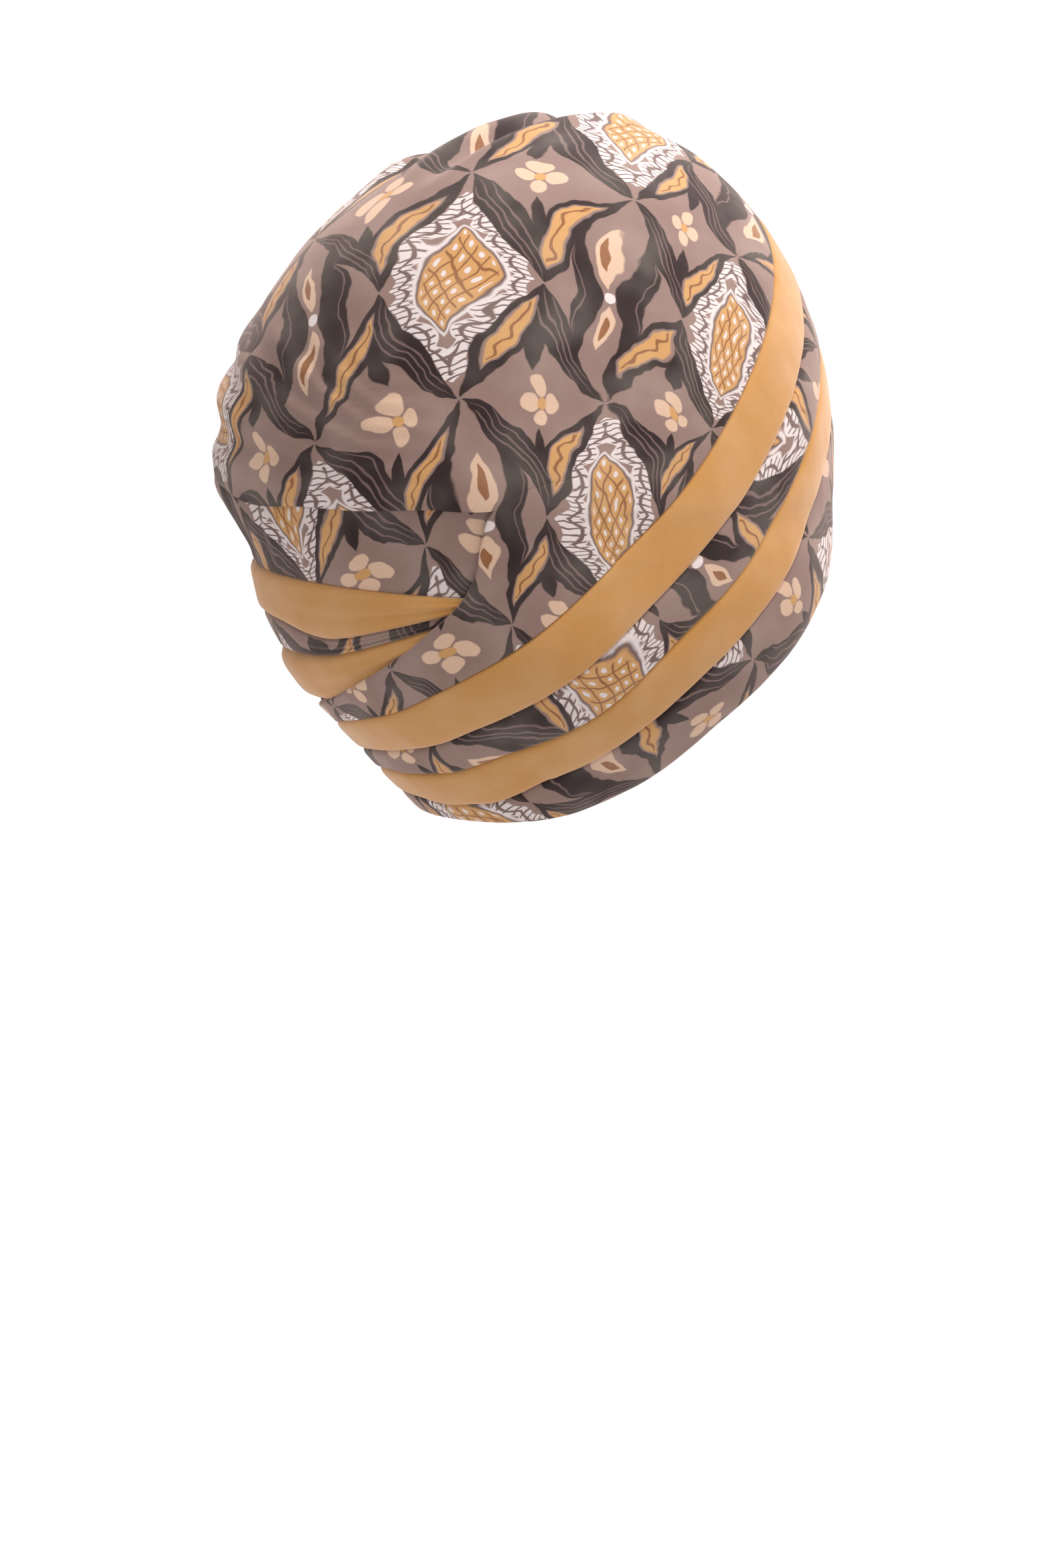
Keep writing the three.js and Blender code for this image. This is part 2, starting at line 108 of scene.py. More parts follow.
# Soft pleats over the top of the crown and gathers beside the crossing
PLEAT_DEPTH = 2.6
PLEAT_SINK = 1.3
PLEAT_TURN = math.radians(47)
PLEAT_BEND = 1.2
PLEAT_BEND_FROM = -2.0
PLEAT_BEND_SOFT = 5.0
PLEAT_HEIGHTS = (56, 90)
PLEAT_BACK = (64, 34)
PLEAT_LEFT = (64, 46)
PLEAT_RIGHT = (-24, -2)
PLEAT_SEAM = (0, 14)
GATHER_DEPTH = 1.3
GATHER_PITCH = 19.0
GATHER_TURN = 38
GATHER_Z = 4
GATHER_REACH_PER_TURN = 1.75
GATHER_REACH = 120
GATHER_NEAREST = 40
GATHER_RIGHT = (34, -8)
GATHER_LEFT = (-95, -55)
GATHER_TOP = (56, 26)
GATHER_FOOT = (-6, 8)

# Uneven waves over the cloth: height, pitch and seed of each layer
DOME_WAVES = ((0.45, 46, 1.0), (0.18, 17, 2.0))
DOME_WAVES_RISE = (2, 14)
TONGUE_WAVES = ((0.3, 22, 3.0),)
STRIP_WAVES = ((0.28, 30, 4.0), (0.10, 11, 5.0))
WAVE_COUNT = 5
WAVE_TURNS = (2.4, 1.9)
WAVE_TILTS = (1.3, 2.7)
WAVE_PITCHES = (0.75, 0.17)
WAVE_SUM = 3.4

# Path of the headband's top edge: a tilted plane round the right side, face and left side,
# a level run across the back to the tucked end, and a tail that sinks past the nape to the left
BAND_HEIGHT = 18.0
BAND_TILT = 1.114
BAND_SIDEWAYS = -0.1
BAND_BACK_LEVEL = -28.5
BAND_BACK_SOFT = 10.0
BAND_BACK_FROM = 200
BAND_PLANE_END = 330.0
BAND_RISE = 3.2
BAND_RISE_IN = (10, 36)
BAND_RISE_OUT = (86, 54)
TAIL_HEIGHT = -71.5
TAIL_SLOPE = 0.22
TAIL_TURNS = (26, -6)
TAIL_TURN = -80.0
TUCKED_TURN = 400.0
TUCKED_TURNS = (300, 345)
TUCKED_HEM = 12.0
TUCKED_HEM_FULL_AT = 17.0
LAP_END_TURN = 65

# Strips of the headband: edges that roll into the seams, puff, folds at the tucked end, and hem
STRIP_HALF_GAP = 0.1
ROLL_FULL_AT = 9
STRIP_PUFF = 0.55
PUFF_POWER = 4
BACK_PUFF = (0.7, -0.5, 2.2, 0.7)
BACK_PUFF_IN = (300, 336)
BACK_PUFF_OUT = (372, 346)
DRAWN_TURNS = (346, 374)
DRAWN_DEPTH = 0.4
DRAWN_FOLDS = 2.5
HEM_ORDER = 3
HEM_FULL_AT = 30
HEM_FOLD = -1.4

# Tongue, and the stretch where it joins the dome
TONGUE_LIP = (28, 44)
TONGUE_JOIN = (9.0, 10.2)
TONGUE_OVER = 0.06
TONGUE_HEM = 0.8
TONGUE_HEM_WIDE = (8, 4)
JOIN_FROM_STEP = 10
JOIN_SINK = 0.25
JOIN_SINK_ACROSS = (0.06, 0)
JOIN_SINK_STEPS = (11.8, 12)
CROSSING_RISE = (30, 4)
LAP_RECESS_TURNS = (40, 46)
LAP_DOME_TURNS = (28, 40)
HIDDEN_TURNS = (36, 39)
HIDDEN_DEPTH = (0, 6)
HIDDEN_SINK = 0.8

# Mesh and search steps
DOME_TURN_STEP = 1.25
RECESS_ROWS = 17
DOME_ROWS = 96
DOME_START = 2.5
DOME_CROWDING = 1.04
TONGUE_ROWS = 241
TONGUE_ACROSS = 27
JOIN_ROWS = 21
BAND_ROWS = 481
STRIP_FILL = 15
MARCH_STEP = 1.5
MARCH_STEPS = 84
MARCH_BACK = 6
MARCH_MARGIN = 0.001
NORMAL_TURN = 1
NORMAL_RISE = 0.4
PEAK_MARGIN = 0.01
PEAK_REACH = 0.5
HALVINGS = 40
HEADING_TURN = 0.5
TINY = 1e-9


def table(**columns):
    return {name: np.array(values, float) for name, values in columns.items()}


# Share of the plan outline at each height below the widest level
LOWER_FORM = table(
    z=[-118, -104, -92, -80, -65, -50, -30, 0],
    share=[0.22, 0.36, 0.49, 0.61, 0.765, 0.872, 0.945, 1.0],
)
# Widths of the band's strips along its run, drawn together at the tail and at the tucked end
WRAP = table(
    turn=[-80, -55, -30, -5, 15, 42, 70, 100, 250, 310, 345, 362, 380, 392, 400],
    upper=[4.0, 7.0, 11.0, 15.5, 18.5, 21.0, 21.0, 21.0, 21.0, 15.5, 16.2, 19.0, 11.5, 5.0, 3.4],
    middle=[3.2, 6.0, 8.5, 11.0, 14.0, 18.3, 17.6, 16.5, 16.5, 14.5, 12.0, 6.0, 3.6, 2.6, 2.4],
    lower=[4.0, 7.0, 11.5, 17.0, 19.0, 20.6, 18.6, 16.8, 19.0, 19.0, 18.5, 17.0, 10.5, 5.0, 3.4],
)
# How far the crown stands off the form above the tuck, round the back
BULGE = table(
    turn=[-100, -75, -43, -20, 0, 20, 38, 60],
    out=[0, 5, 8.5, 8, 6.5, 4.5, 2, 0],
)
# Share of that stand-off at each rise above the tuck line
TUCK = table(
    rise=[-30, -14, 0, 18, 36, 54, 74, 96, 110],
    share=[0, 0.30, 0.80, 1.0, 0.84, 0.56, 0.30, 0.10, 0],
)
# Tuck line round the back
TUCK_LINE = table(
    turn=[-110, -70, -30, -12, 0, 20, 40, 70],
    z=[8, 5, 1, -0.8, -1.2, 1, 3, 6],
)
# Pleats across the top: grooves at even folds, ridges at odd ones
PLEATS = table(
    side=[-75, -48, -31, -9, 5, 18, 42, 66],
    fold=[-4, -3, -2, -1, 0, 1, 2, 3],
)
# Free edge of the tongue, and the turn where each line across it meets the headband
TONGUE = table(
    step=[0, 1, 2, 3, 4, 5, 6, 7, 8, 9, 10, 11, 12],
    turn=[-80, -55, -30, -6, 10, 20, 27, 32, 34.6, 35.6, 37.5, 43, 54],
    z=[-86, -79.5, -73, -66, -56.5, -47, -37.5, -29, -20, -10, 0, 7, 12],
    foot=[-80, -55, -30, -6, 11, 22, 30, 36, 41, 45, 50, 55, 62],
)
# Rows of the dome that go down behind the seam at its foot
DOME_SEAM = table(
    rise=[-SEAM_UNDER, -0.6, 0.1],
    out=[-1.7, -1.5, -0.7],
)
# Rows round the lip of the tuck, first its underside and then its face
LIP_UNDER = table(
    rise=[0.10, 0.15, 0.20, 0.30, 0.40],
    drop=[-0.32, 0.20, 0.75, 1.15, 1.22],
    bulge=[0.50, 0.60, 0.66, 0.72, 0.77],
    gathers=[0.6, 0.3, 0, 0, 0],
    proud=[0, 0, 0, 0, 0.10],
)
LIP_FACE = table(
    rise=[0.50, 0.70, 1.00],
    drop=[1.10, 0.75, 0.25],
    above=[0, 0.6, 1.2],
    proud=[0.25, 0.40, LIP_PROUD],
)
# Rows past an edge of the tongue: how far on, and how far down
TONGUE_ROUND = table(on=[0.55, 0.4], down=[1.0, 0.45])
TONGUE_ROUND_INSIDE = table(on=[0.5, 0.2], down=[1.45, 1.6])
TONGUE_SEAM = table(on=[0.3, SEAM_UNDER], down=[1.3, 1.7])
# Rows at a strip's edges: the roll, the allowance under the strip above, and the hem turned in at the rim
ROLL = table(inset=[0.0, 0.25, 0.8, 1.7], out=[-1.05, -0.5, -0.15, 0.0])
ALLOWANCE = table(across=[-2.6, -0.6], out=[-1.9, -1.75])
HEM = table(inset=[0.6, 2.0, 5.0, 11.0], out=[-2.2, -2.5, -2.6, -2.6])


def rows_of(columns):
    return zip(*columns.values())


def ramp(span, x):
    start, end = span
    s = np.clip((np.asarray(x, float) - start) / (end - start), 0.0, 1.0)
    return s * s * (3 - 2 * s)


def along(columns, key, column, x):
    """Smooth curve through one column of a table."""
    k = columns[key]
    v = columns[column]
    slope = np.empty_like(v)
    slope[1:-1] = (v[2:] - v[:-2]) / (k[2:] - k[:-2])
    slope[0] = (v[1] - v[0]) / (k[1] - k[0])
    slope[-1] = (v[-1] - v[-2]) / (k[-1] - k[-2])
    x = np.clip(np.asarray(x, float), k[0], k[-1])
    i = np.clip(np.searchsorted(k, x, side="left") - 1, 0, len(k) - 2)
    h = k[i + 1] - k[i]
    s = (x - k[i]) / h
    near = (1 + 2 * s) * (1 - s) ** 2 * v[i] + s * (1 - s) ** 2 * h * slope[i]
    far = s * s * (3 - 2 * s) * v[i + 1] + s * s * (s - 1) * h * slope[i + 1]
    return near + far


def back_turn(turn):
    return np.mod(np.asarray(turn, float) + 180.0, 360.0) - 180.0


def unit(v):
    return v / np.maximum(np.linalg.norm(v, axis=-1, keepdims=True), TINY)


# Form


def lean_at(z):
    return -TOP_LEAN * np.maximum(0.0, z / TOP_RISE) ** TOP_LEAN_POWER


def form_point(turn, z):
    turn, z = np.broadcast_arrays(np.asarray(turn, float), np.asarray(z, float))
    a = np.radians(turn)
    reach = np.where(np.cos(a) < 0, FRONT_REACH, BACK_REACH)
    side = np.abs(np.sin(a)) / HALF_WIDTH
    length = np.abs(np.cos(a)) / reach
    plan = (side ** PLAN_POWER + length ** PLAN_POWER) ** (-1 / PLAN_POWER)
    low = along(LOWER_FORM, "z", "share", np.minimum(z, 0.0))
    high = np.maximum(0.0, 1 - np.clip(z / TOP_RISE, 0, 1) ** TOP_POWER) ** (1 / TOP_POWER)
    flare = CHEEK_FLARE * ramp(CHEEK_TURNS, np.abs(back_turn(turn))) * ramp(CHEEK_HEIGHTS, z)
    r = plan * np.where(z <= 0, low, high) + flare
    return np.stack([-r * np.sin(a), r * np.cos(a) + lean_at(z), z], -1)


def form_normal(turn, z):
    turn, z = np.broadcast_arrays(np.asarray(turn, float), np.asarray(z, float))
    high = np.minimum(z + NORMAL_RISE, TOP_RISE - PEAK_MARGIN)
    low = np.minimum(z - NORMAL_RISE, TOP_RISE - PEAK_REACH)
    sideways = form_point(turn + NORMAL_TURN, z) - form_point(turn - NORMAL_TURN, z)
    up = form_point(turn, high) - form_point(turn, low)
    return unit(np.cross(sideways, up))


def cloth_point(turn, z, out):
    """Point on the form moved out along its normal."""
    return form_point(turn, z) + form_normal(turn, z) * np.asarray(out, float)[..., None]


def rim_height(y):
    return RIM_NAPE + RIM_SLOPE * RIM_SOFT * np.logaddexp(0.0, (RIM_TURN_Y - y) / RIM_SOFT)


# Headband


def plane_height(turn):
    """Height where the band's tilted plane meets the form."""
    turn = np.asarray(turn, float)
    low = np.full(turn.shape, RIM_NAPE)
    high = np.full(turn.shape, TOP_RISE)
    for _ in range(HALVINGS):
        z = (low + high) / 2
        p = form_point(turn, z)
        over = z > BAND_HEIGHT + BAND_SIDEWAYS * p[..., 0] - BAND_TILT * p[..., 1]
        high = np.where(over, z, high)
        low = np.where(over, low, z)
    return (low + high) / 2


def band_top(turn):
    turn = np.asarray(turn, float)
    above = plane_height(np.minimum(turn, BAND_PLANE_END)) - BAND_BACK_LEVEL
    level = BAND_BACK_LEVEL + BAND_BACK_SOFT * np.logaddexp(0.0, above / BAND_BACK_SOFT)
    tail = ramp(TAIL_TURNS, turn)
    rise = BAND_RISE * ramp(BAND_RISE_IN, turn) * ramp(BAND_RISE_OUT, turn)
    sinking = (1 - tail) * plane_height(np.maximum(turn, 0.0)) + tail * (TAIL_HEIGHT + TAIL_SLOPE * turn)
    return np.where(turn > BAND_BACK_FROM, level, np.where(tail == 0, plane_height(turn), sinking) + rise)


def band_lift(turn):
    return OVERLAP_LIFT * ramp(OVERLAP_TURNS, turn)


class Lines:
    """Lines across the band, walked down the form square to the band's top edge."""

    def __init__(self, turns):
        self.turns = turns
        top = band_top(turns)
        after = form_point(turns + HEADING_TURN, band_top(turns + HEADING_TURN))
        before = form_point(turns - HEADING_TURN, band_top(turns - HEADING_TURN))
        point = form_point(turns, top)
        heading = np.cross(unit(after - before), form_normal(turns, top))
        heading *= np.where(heading[:, 2:] > 0, -1.0, 1.0)
        turn, z = turns.copy(), top.copy()
        path_turn, path_z, spare = [turn], [z], [z - rim_height(point[:, 1])]
        for _ in range(MARCH_STEPS):
            normal = form_normal(turn, z)
            heading = unit(heading - (heading * normal).sum(-1, keepdims=True) * normal)
            ahead = point + heading * MARCH_STEP
            at = np.degrees(np.arctan2(-ahead[:, 0], ahead[:, 1] - lean_at(ahead[:, 2])))
            turn = turn + back_turn(at - turn)
            z = ahead[:, 2]
            following = form_point(turn, z)
            heading = following - point
            point = following
            path_turn.append(turn)
            path_z.append(z)
            spare.append(z - rim_height(point[:, 1]))
        self.turn = np.stack(path_turn, 1)
        self.z = np.stack(path_z, 1)
        spare = np.stack(spare, 1)
        first = np.argmax(spare <= 0, axis=1)
        rows = np.arange(len(turns))
        last_above = spare[rows, first - 1]
        self.length = (first - 1 + last_above / (last_above - spare[rows, first])) * MARCH_STEP

    def place(self, distance):
        """Turn and height at distances down each line; before the top edge it runs on upwards."""
        last = self.turn.shape[1] - 1
        steps = np.clip(distance / MARCH_STEP, -MARCH_BACK, last - MARCH_MARGIN)
        i = np.clip(np.floor(steps).astype(int), 0, last - 1)
        s = steps - i
        rows = np.arange(len(self.turns))[:, None]
        turn = self.turn[rows, i] * (1 - s) + self.turn[rows, i + 1] * s
        z = self.z[rows, i] * (1 - s) + self.z[rows, i + 1] * s
        return turn, z


def strip_edges(turn, length):
    """Distances of the strips' edges from the band's top edge, the last one at the rim or the tucked hem."""
    upper = along(WRAP, "turn", "upper", turn)
    middle = along(WRAP, "turn", "middle", turn)
    lower = along(WRAP, "turn", "lower", turn)
    hem = upper + middle + lower
    tucked = hem + TUCKED_HEM * lower / TUCKED_HEM_FULL_AT
    end = length + (tucked - length) * ramp(TUCKED_TURNS, turn)
    return [np.zeros_like(upper), upper, upper + middle, hem, end]


# Crown


def crown_foot(turn):
    """Top of the band under the crown, the higher one where the band laps over itself."""
    back = back_turn(turn)
    over = band_top(np.where(back < TAIL_TURN, back + 360, back))
    lapped = (back < LAP_END_TURN) & (back >= TAIL_TURN)
    return np.where(lapped, np.maximum(over, band_top(back + 360)), over)


def tuck_line(turn, foot):
    back = back_turn(turn)
    line = along(TUCK_LINE, "turn", "z", back)
    share = ramp(TUCK_LEFT, back) * ramp(TUCK_RIGHT, back)
    lowest = foot + TUCK_ABOVE_SEAM
    return np.maximum(lowest, lowest + (line - lowest) * share)


def bulge_at(turn):
    return along(BULGE, "turn", "out", back_turn(turn))


def pleat_at(p):
    near = p[..., 1] * math.cos(PLEAT_TURN) - p[..., 0] * math.sin(PLEAT_TURN)
    side = -p[..., 0] * math.cos(PLEAT_TURN) - p[..., 1] * math.sin(PLEAT_TURN)
    bend = PLEAT_BEND * PLEAT_BEND_SOFT * np.logaddexp(0.0, (near - PLEAT_BEND_FROM) / PLEAT_BEND_SOFT)
    return -PLEAT_SINK - PLEAT_DEPTH * np.cos(np.pi * along(PLEATS, "side", "fold", side + bend))


def folds_at(turn, z, foot):
    """Height of the pleats over the top and of the gathers that fan out from the crossing."""
    p = form_point(turn, z)
    x, y = p[..., 0], p[..., 1]
    top_share = ramp(PLEAT_HEIGHTS, z) * ramp(PLEAT_BACK, y) * ramp(PLEAT_LEFT, x) * ramp(PLEAT_RIGHT, x)
    pleat = pleat_at(p) * top_share * ramp(PLEAT_SEAM, z - foot)
    back = back_turn(turn)
    reach = np.maximum(GATHER_NEAREST, (GATHER_TURN - back) * GATHER_REACH_PER_TURN)
    fan = (z - GATHER_Z) * GATHER_REACH / reach
    turn_share = ramp(GATHER_RIGHT, back) * ramp(GATHER_LEFT, back)
    gather = GATHER_DEPTH * np.cos(2 * np.pi * fan / GATHER_PITCH) * turn_share
    return pleat + gather * ramp(GATHER_TOP, z) * ramp(GATHER_FOOT, z)


def crown_out(turn, z, foot):
    rise = z - tuck_line(turn, foot)
    return bulge_at(turn) * along(TUCK, "rise", "share", rise) + folds_at(turn, z, foot)


def wave(points, pitch, seed):
    """Soft uneven waves over the cloth, from -1 to 1."""
    total = 0
    for k in range(WAVE_COUNT):
        a = seed * WAVE_TURNS[0] + k * WAVE_TURNS[1]
        b = seed * WAVE_TILTS[0] + k * WAVE_TILTS[1]
        way = np.array([math.cos(a) * math.cos(b), math.sin(a) * math.cos(b), math.sin(b)])
        length = pitch * (WAVE_PITCHES[0] + WAVE_PITCHES[1] * k)
        total = total + np.sin(points @ way * (2 * math.pi / length) + seed + k)
    return total / WAVE_SUM


def waves(points, layers):
    return sum(height * wave(points, pitch, seed) for height, pitch, seed in layers)


# Where a point of the crown lies on its cloth: flattened round a middle high at the back right

CLOTH_MIDDLE_TURN = math.radians(25)
CLOTH_MIDDLE_RISE = math.radians(40)
CLOTH_REACH = 100.0
RECESS_PRINT_SHIFT = (31.0, -24.0)
RECESS_PRINT_TURNS = (44, 36)


def crown_cloth(points):
    middle = np.array([
        -math.sin(CLOTH_MIDDLE_TURN) * math.cos(CLOTH_MIDDLE_RISE),
        math.cos(CLOTH_MIDDLE_TURN) * math.cos(CLOTH_MIDDLE_RISE),
        math.sin(CLOTH_MIDDLE_RISE),
    ])
    across = unit(np.cross(np.array([0.0, 0.0, 1.0]), middle))
    up = np.cross(middle, across)
    ways = unit(points)
    u, v = ways @ across, ways @ up
    off = np.hypot(u, v)
    share = CLOTH_REACH * np.arctan2(off, ways @ middle) / np.maximum(off, TINY)
    return np.stack([u * share, v * share], -1)


# Meshes


class Cloth:
    """Sheets of cloth gathered into one mesh: outer faces, inner faces and the edges between them."""

    def __init__(self):
        self.points = []
        self.places = []
        self.faces = []
        self.inside = []
        self.count = 0

    def take(self, faces, flipped, inside):
        faces = faces[:, ::-1] if flipped else faces
        self.faces += (faces + self.count).tolist()
        self.inside += [inside] * len(faces)

    def add(self, outer, inner, place, closed=False, flipped=False, tips=None):
        rows, wide = outer.shape[:2]
        under = rows * wide
        i = np.arange(rows if closed else rows - 1)
        after = (i + 1) % rows
        j = np.arange(wide - 1)
        a = i[:, None] * wide + j
        b = after[:, None] * wide + j
        face = np.stack([a, b, b + 1, a + 1], -1).reshape(-1, 4)
        low, low_next = i * wide, after * wide
        high, high_next = low + wide - 1, low_next + wide - 1
        edges = [np.stack([low_next, low, low + under, low_next + under], -1)]
        if tips is None:
            edges.append(np.stack([high, high_next, high_next + under, high + under], -1))
        if not closed:
            end = (rows - 1) * wide
            edges.append(np.stack([j, j + 1, j + 1 + under, j + under], -1))
            edges.append(np.stack([end + j + 1, end + j, end + j + under, end + j + 1 + under], -1))
        self.take(face, flipped, 0)
        self.take(face[:, ::-1] + under, flipped, 1)
        self.take(np.concatenate(edges), flipped, 1)
        added = [outer.reshape(-1, 3), inner.reshape(-1, 3)]
        laid = [place.reshape(-1, 2), place.reshape(-1, 2)]
        if tips is not None:
            peak, beneath, peak_place = tips
            tip = np.full(len(i), 2 * under)
            self.take(np.stack([high, high_next, tip], -1), flipped, 0)
            self.take(np.stack([high_next + under, high + under, tip + 1], -1), flipped, 1)
            added += [peak[None], beneath[None]]
            laid += [peak_place[None], peak_place[None]]
        self.points += added
        self.places += laid
        self.count += sum(len(p) for p in added)

    def made(self, name, materials):
        mesh = bpy.data.meshes.new(name)
        mesh.from_pydata((np.concatenate(self.points) * MM).tolist(), [], self.faces)
        uv = mesh.uv_layers.new(name="cloth")
        corner = np.empty(len(mesh.loops), int)
        mesh.loops.foreach_get("vertex_index", corner)
        uv.data.foreach_set("uv", np.concatenate(self.places)[corner].astype(np.float32).ravel())
        for material in materials:
            mesh.materials.append(material)
        mesh.polygons.foreach_set("material_index", np.array(self.inside, np.int32))
        mesh.polygons.foreach_set("use_smooth", np.ones(len(mesh.polygons), bool))
        mesh.set_sharp_from_angle(angle=SHARP_EDGE)
        mesh.update()
        piece = bpy.data.objects.new(name, mesh)
        bpy.context.scene.collection.objects.link(piece)
        return piece


def tongue_edges(steps):
    """Turn and height of the tongue's free edge and of its seam, at steps along it."""
    base = along(TONGUE, "step", "foot", steps)
    edge_turn = along(TONGUE, "step", "turn", steps)
    edge_z = along(TONGUE, "step", "z", steps)
    return edge_turn, edge_z, base, band_top(base) + SEAM_CLEAR


def crossing_lift(turn, rise):
    """How far the crown stands off where it runs down into the tongue, at a rise above the tuck line."""
    return band_lift(turn) * ramp(CROSSING_RISE, rise)


def dome_waves(points, rise):
    return ramp(DOME_WAVES_RISE, rise) * waves(points, DOME_WAVES)


def recess_gathers(back):
    wide = RECESS_GATHER * np.sin(back * RECESS_GATHER_RATE + RECESS_GATHER_START)
    drift = RECESS_FINE_DRIFT * np.sin(back / RECESS_FINE_DRIFT_PITCH)
    fine = RECESS_FINE_GATHER * np.sin(back * RECESS_FINE_RATE + drift)
    return (wide + fine) * ramp(RECESS_GATHER_LEFT, back) * ramp(RECESS_GATHER_RIGHT, back)


def dome_rows(turns, foot, tuck, plain, share):
    """Heights of the dome's rows, how far they stand off the form, and the rows where lip and top start."""
    back = back_turn(turns)
    bulge = bulge_at(turns)
    gathers = recess_gathers(back)
    hang = TUCK_OVERHANG * share
    puff = TUCK_PUFF * ramp(TUCK_PUFF_RIGHT, back) * ramp(TUCK_PUFF_LEFT, back)
    heights, outs = [], []

    def row(z, out):
        heights.append(z)
        outs.append(out)

    def eased(tucked, z):
        return tucked + (crown_out(turns, z, foot) - tucked) * plain

    for rise, out in rows_of(DOME_SEAM):
        row(foot + rise, np.full_like(foot, out))
    for s in np.linspace(0, 1, RECESS_ROWS + 1)[1:]:
        rising = s ** TUCK_RECESS_POWER
        rising = rising + (ramp(TUCK_PUFF_RISE, s) - rising) * puff / TUCK_PUFF
        deep = (TUCK_RECESS + puff) * rising - (LIP_SINK + puff) * ramp(LIP_SINK_RISE, s)
        z = foot + (tuck + LIP_COVER * share - foot) * s
        dip = SEAM_DIP * (1 - s) ** SEAM_DIP_POWER
        row(z, eased(bulge * deep, z) - dip + gathers * ramp(RECESS_GATHER_RISE, s))
    lip = len(heights)
    for rise, drop, deep, gathered, proud in rows_of(LIP_UNDER):
        row(tuck + rise - drop * hang, eased(bulge * deep, tuck) + gathers * gathered + proud * share)
    for rise, drop, above, proud in rows_of(LIP_FACE):
        row(tuck + rise - drop * hang, crown_out(turns, tuck + above, foot) + proud * share)
    top = len(heights)
    start = np.degrees(np.arcsin(np.clip((tuck + DOME_START) / TOP_RISE, -1, 1)))
    for i in range(DOME_ROWS):
        latitude = start + (90 - start) * (i / DOME_ROWS) ** DOME_CROWDING
        z = TOP_RISE * np.sin(np.radians(latitude))
        row(z, crown_out(turns, z, foot) + LIP_PROUD * share * ramp(LIP_FADE, z - tuck))
    return np.stack(heights, 1), np.stack(outs, 1), lip, top


def under_tongue(back, z):
    """Share by which the dome sinks under the tongue where the two join."""
    steps = np.linspace(JOIN_FROM_STEP, TONGUE["step"][-1], JOIN_ROWS)
    edge_turn, edge_z, base, base_z = tongue_edges(steps)
    join = np.interp(back, np.append(edge_turn, base[-1]), np.append(edge_z, base_z[-1]))
    beside = ramp(HIDDEN_TURNS, back) * (back < base[-1])
    return beside[:, None] * ramp(HIDDEN_DEPTH, join[:, None] - z)


def add_dome(cloth):
    """Dome of the crown, from the seam at its foot up behind the tuck, round its lip and over the top."""
    turns = np.arange(0, 360, DOME_TURN_STEP)
    back = back_turn(turns)
    seam = crown_foot(turns)
    foot = seam + SEAM_CLEAR
    plain = ramp(TUCK_ENDS, back)
    share = np.minimum(1, bulge_at(turns) / TUCK_OVERHANG_FULL_AT) * (1 - plain)
    tuck = tuck_line(turns, seam)
    tuck = tuck + share * sum(height * np.sin(back / pitch + start) for height, pitch, start in TUCK_WAVES)
    z, out, lip, top = dome_rows(turns, foot, tuck, plain, share)
    lap = crossing_lift(back[:, None], z - tuck[:, None])
    lap[:, :lip] *= ramp(LAP_RECESS_TURNS, back)[:, None]
    lap[:, lip:] *= ramp(LAP_DOME_TURNS, back)[:, None]
    hidden = under_tongue(back, z)
    out = out + lap * (1 - hidden) - HIDDEN_SINK * hidden
    out = out + dome_waves(form_point(turns[:, None], z), z - foot[:, None])
    inner_z, inner_out = z.copy(), out - JERSEY
    before = lip - 1
    for k in range(lip, top):
        s = (k - before) / (top - before)
        inner_z[:, k] = z[:, before] * (1 - s) + z[:, top] * s
        inner_out[:, k] = inner_out[:, before] * (1 - s) + inner_out[:, top] * s
    dome = cloth_point(turns[:, None], z, out)
    inner = cloth_point(turns[:, None], inner_z, inner_out)
    place = crown_cloth(dome)
    place[:, :lip] += np.array(RECESS_PRINT_SHIFT) * ramp(RECESS_PRINT_TURNS, back)[:, None, None]
    peak = form_point(0.0, TOP_RISE)
    peak[2] += folds_at(FACE_TURN, TOP_RISE, crown_foot(FACE_TURN))
    beneath = peak - np.array([0, 0, JERSEY])
    cloth.add(dome, inner, place, closed=True, tips=(peak, beneath, crown_cloth(peak)))


def beyond(edge, way, normal, rows):
    """Rows of points past an edge of the cloth, each so far on and so far down."""
    return np.stack([edge + way * on - normal * down for on, down in rows_of(rows)], 1)


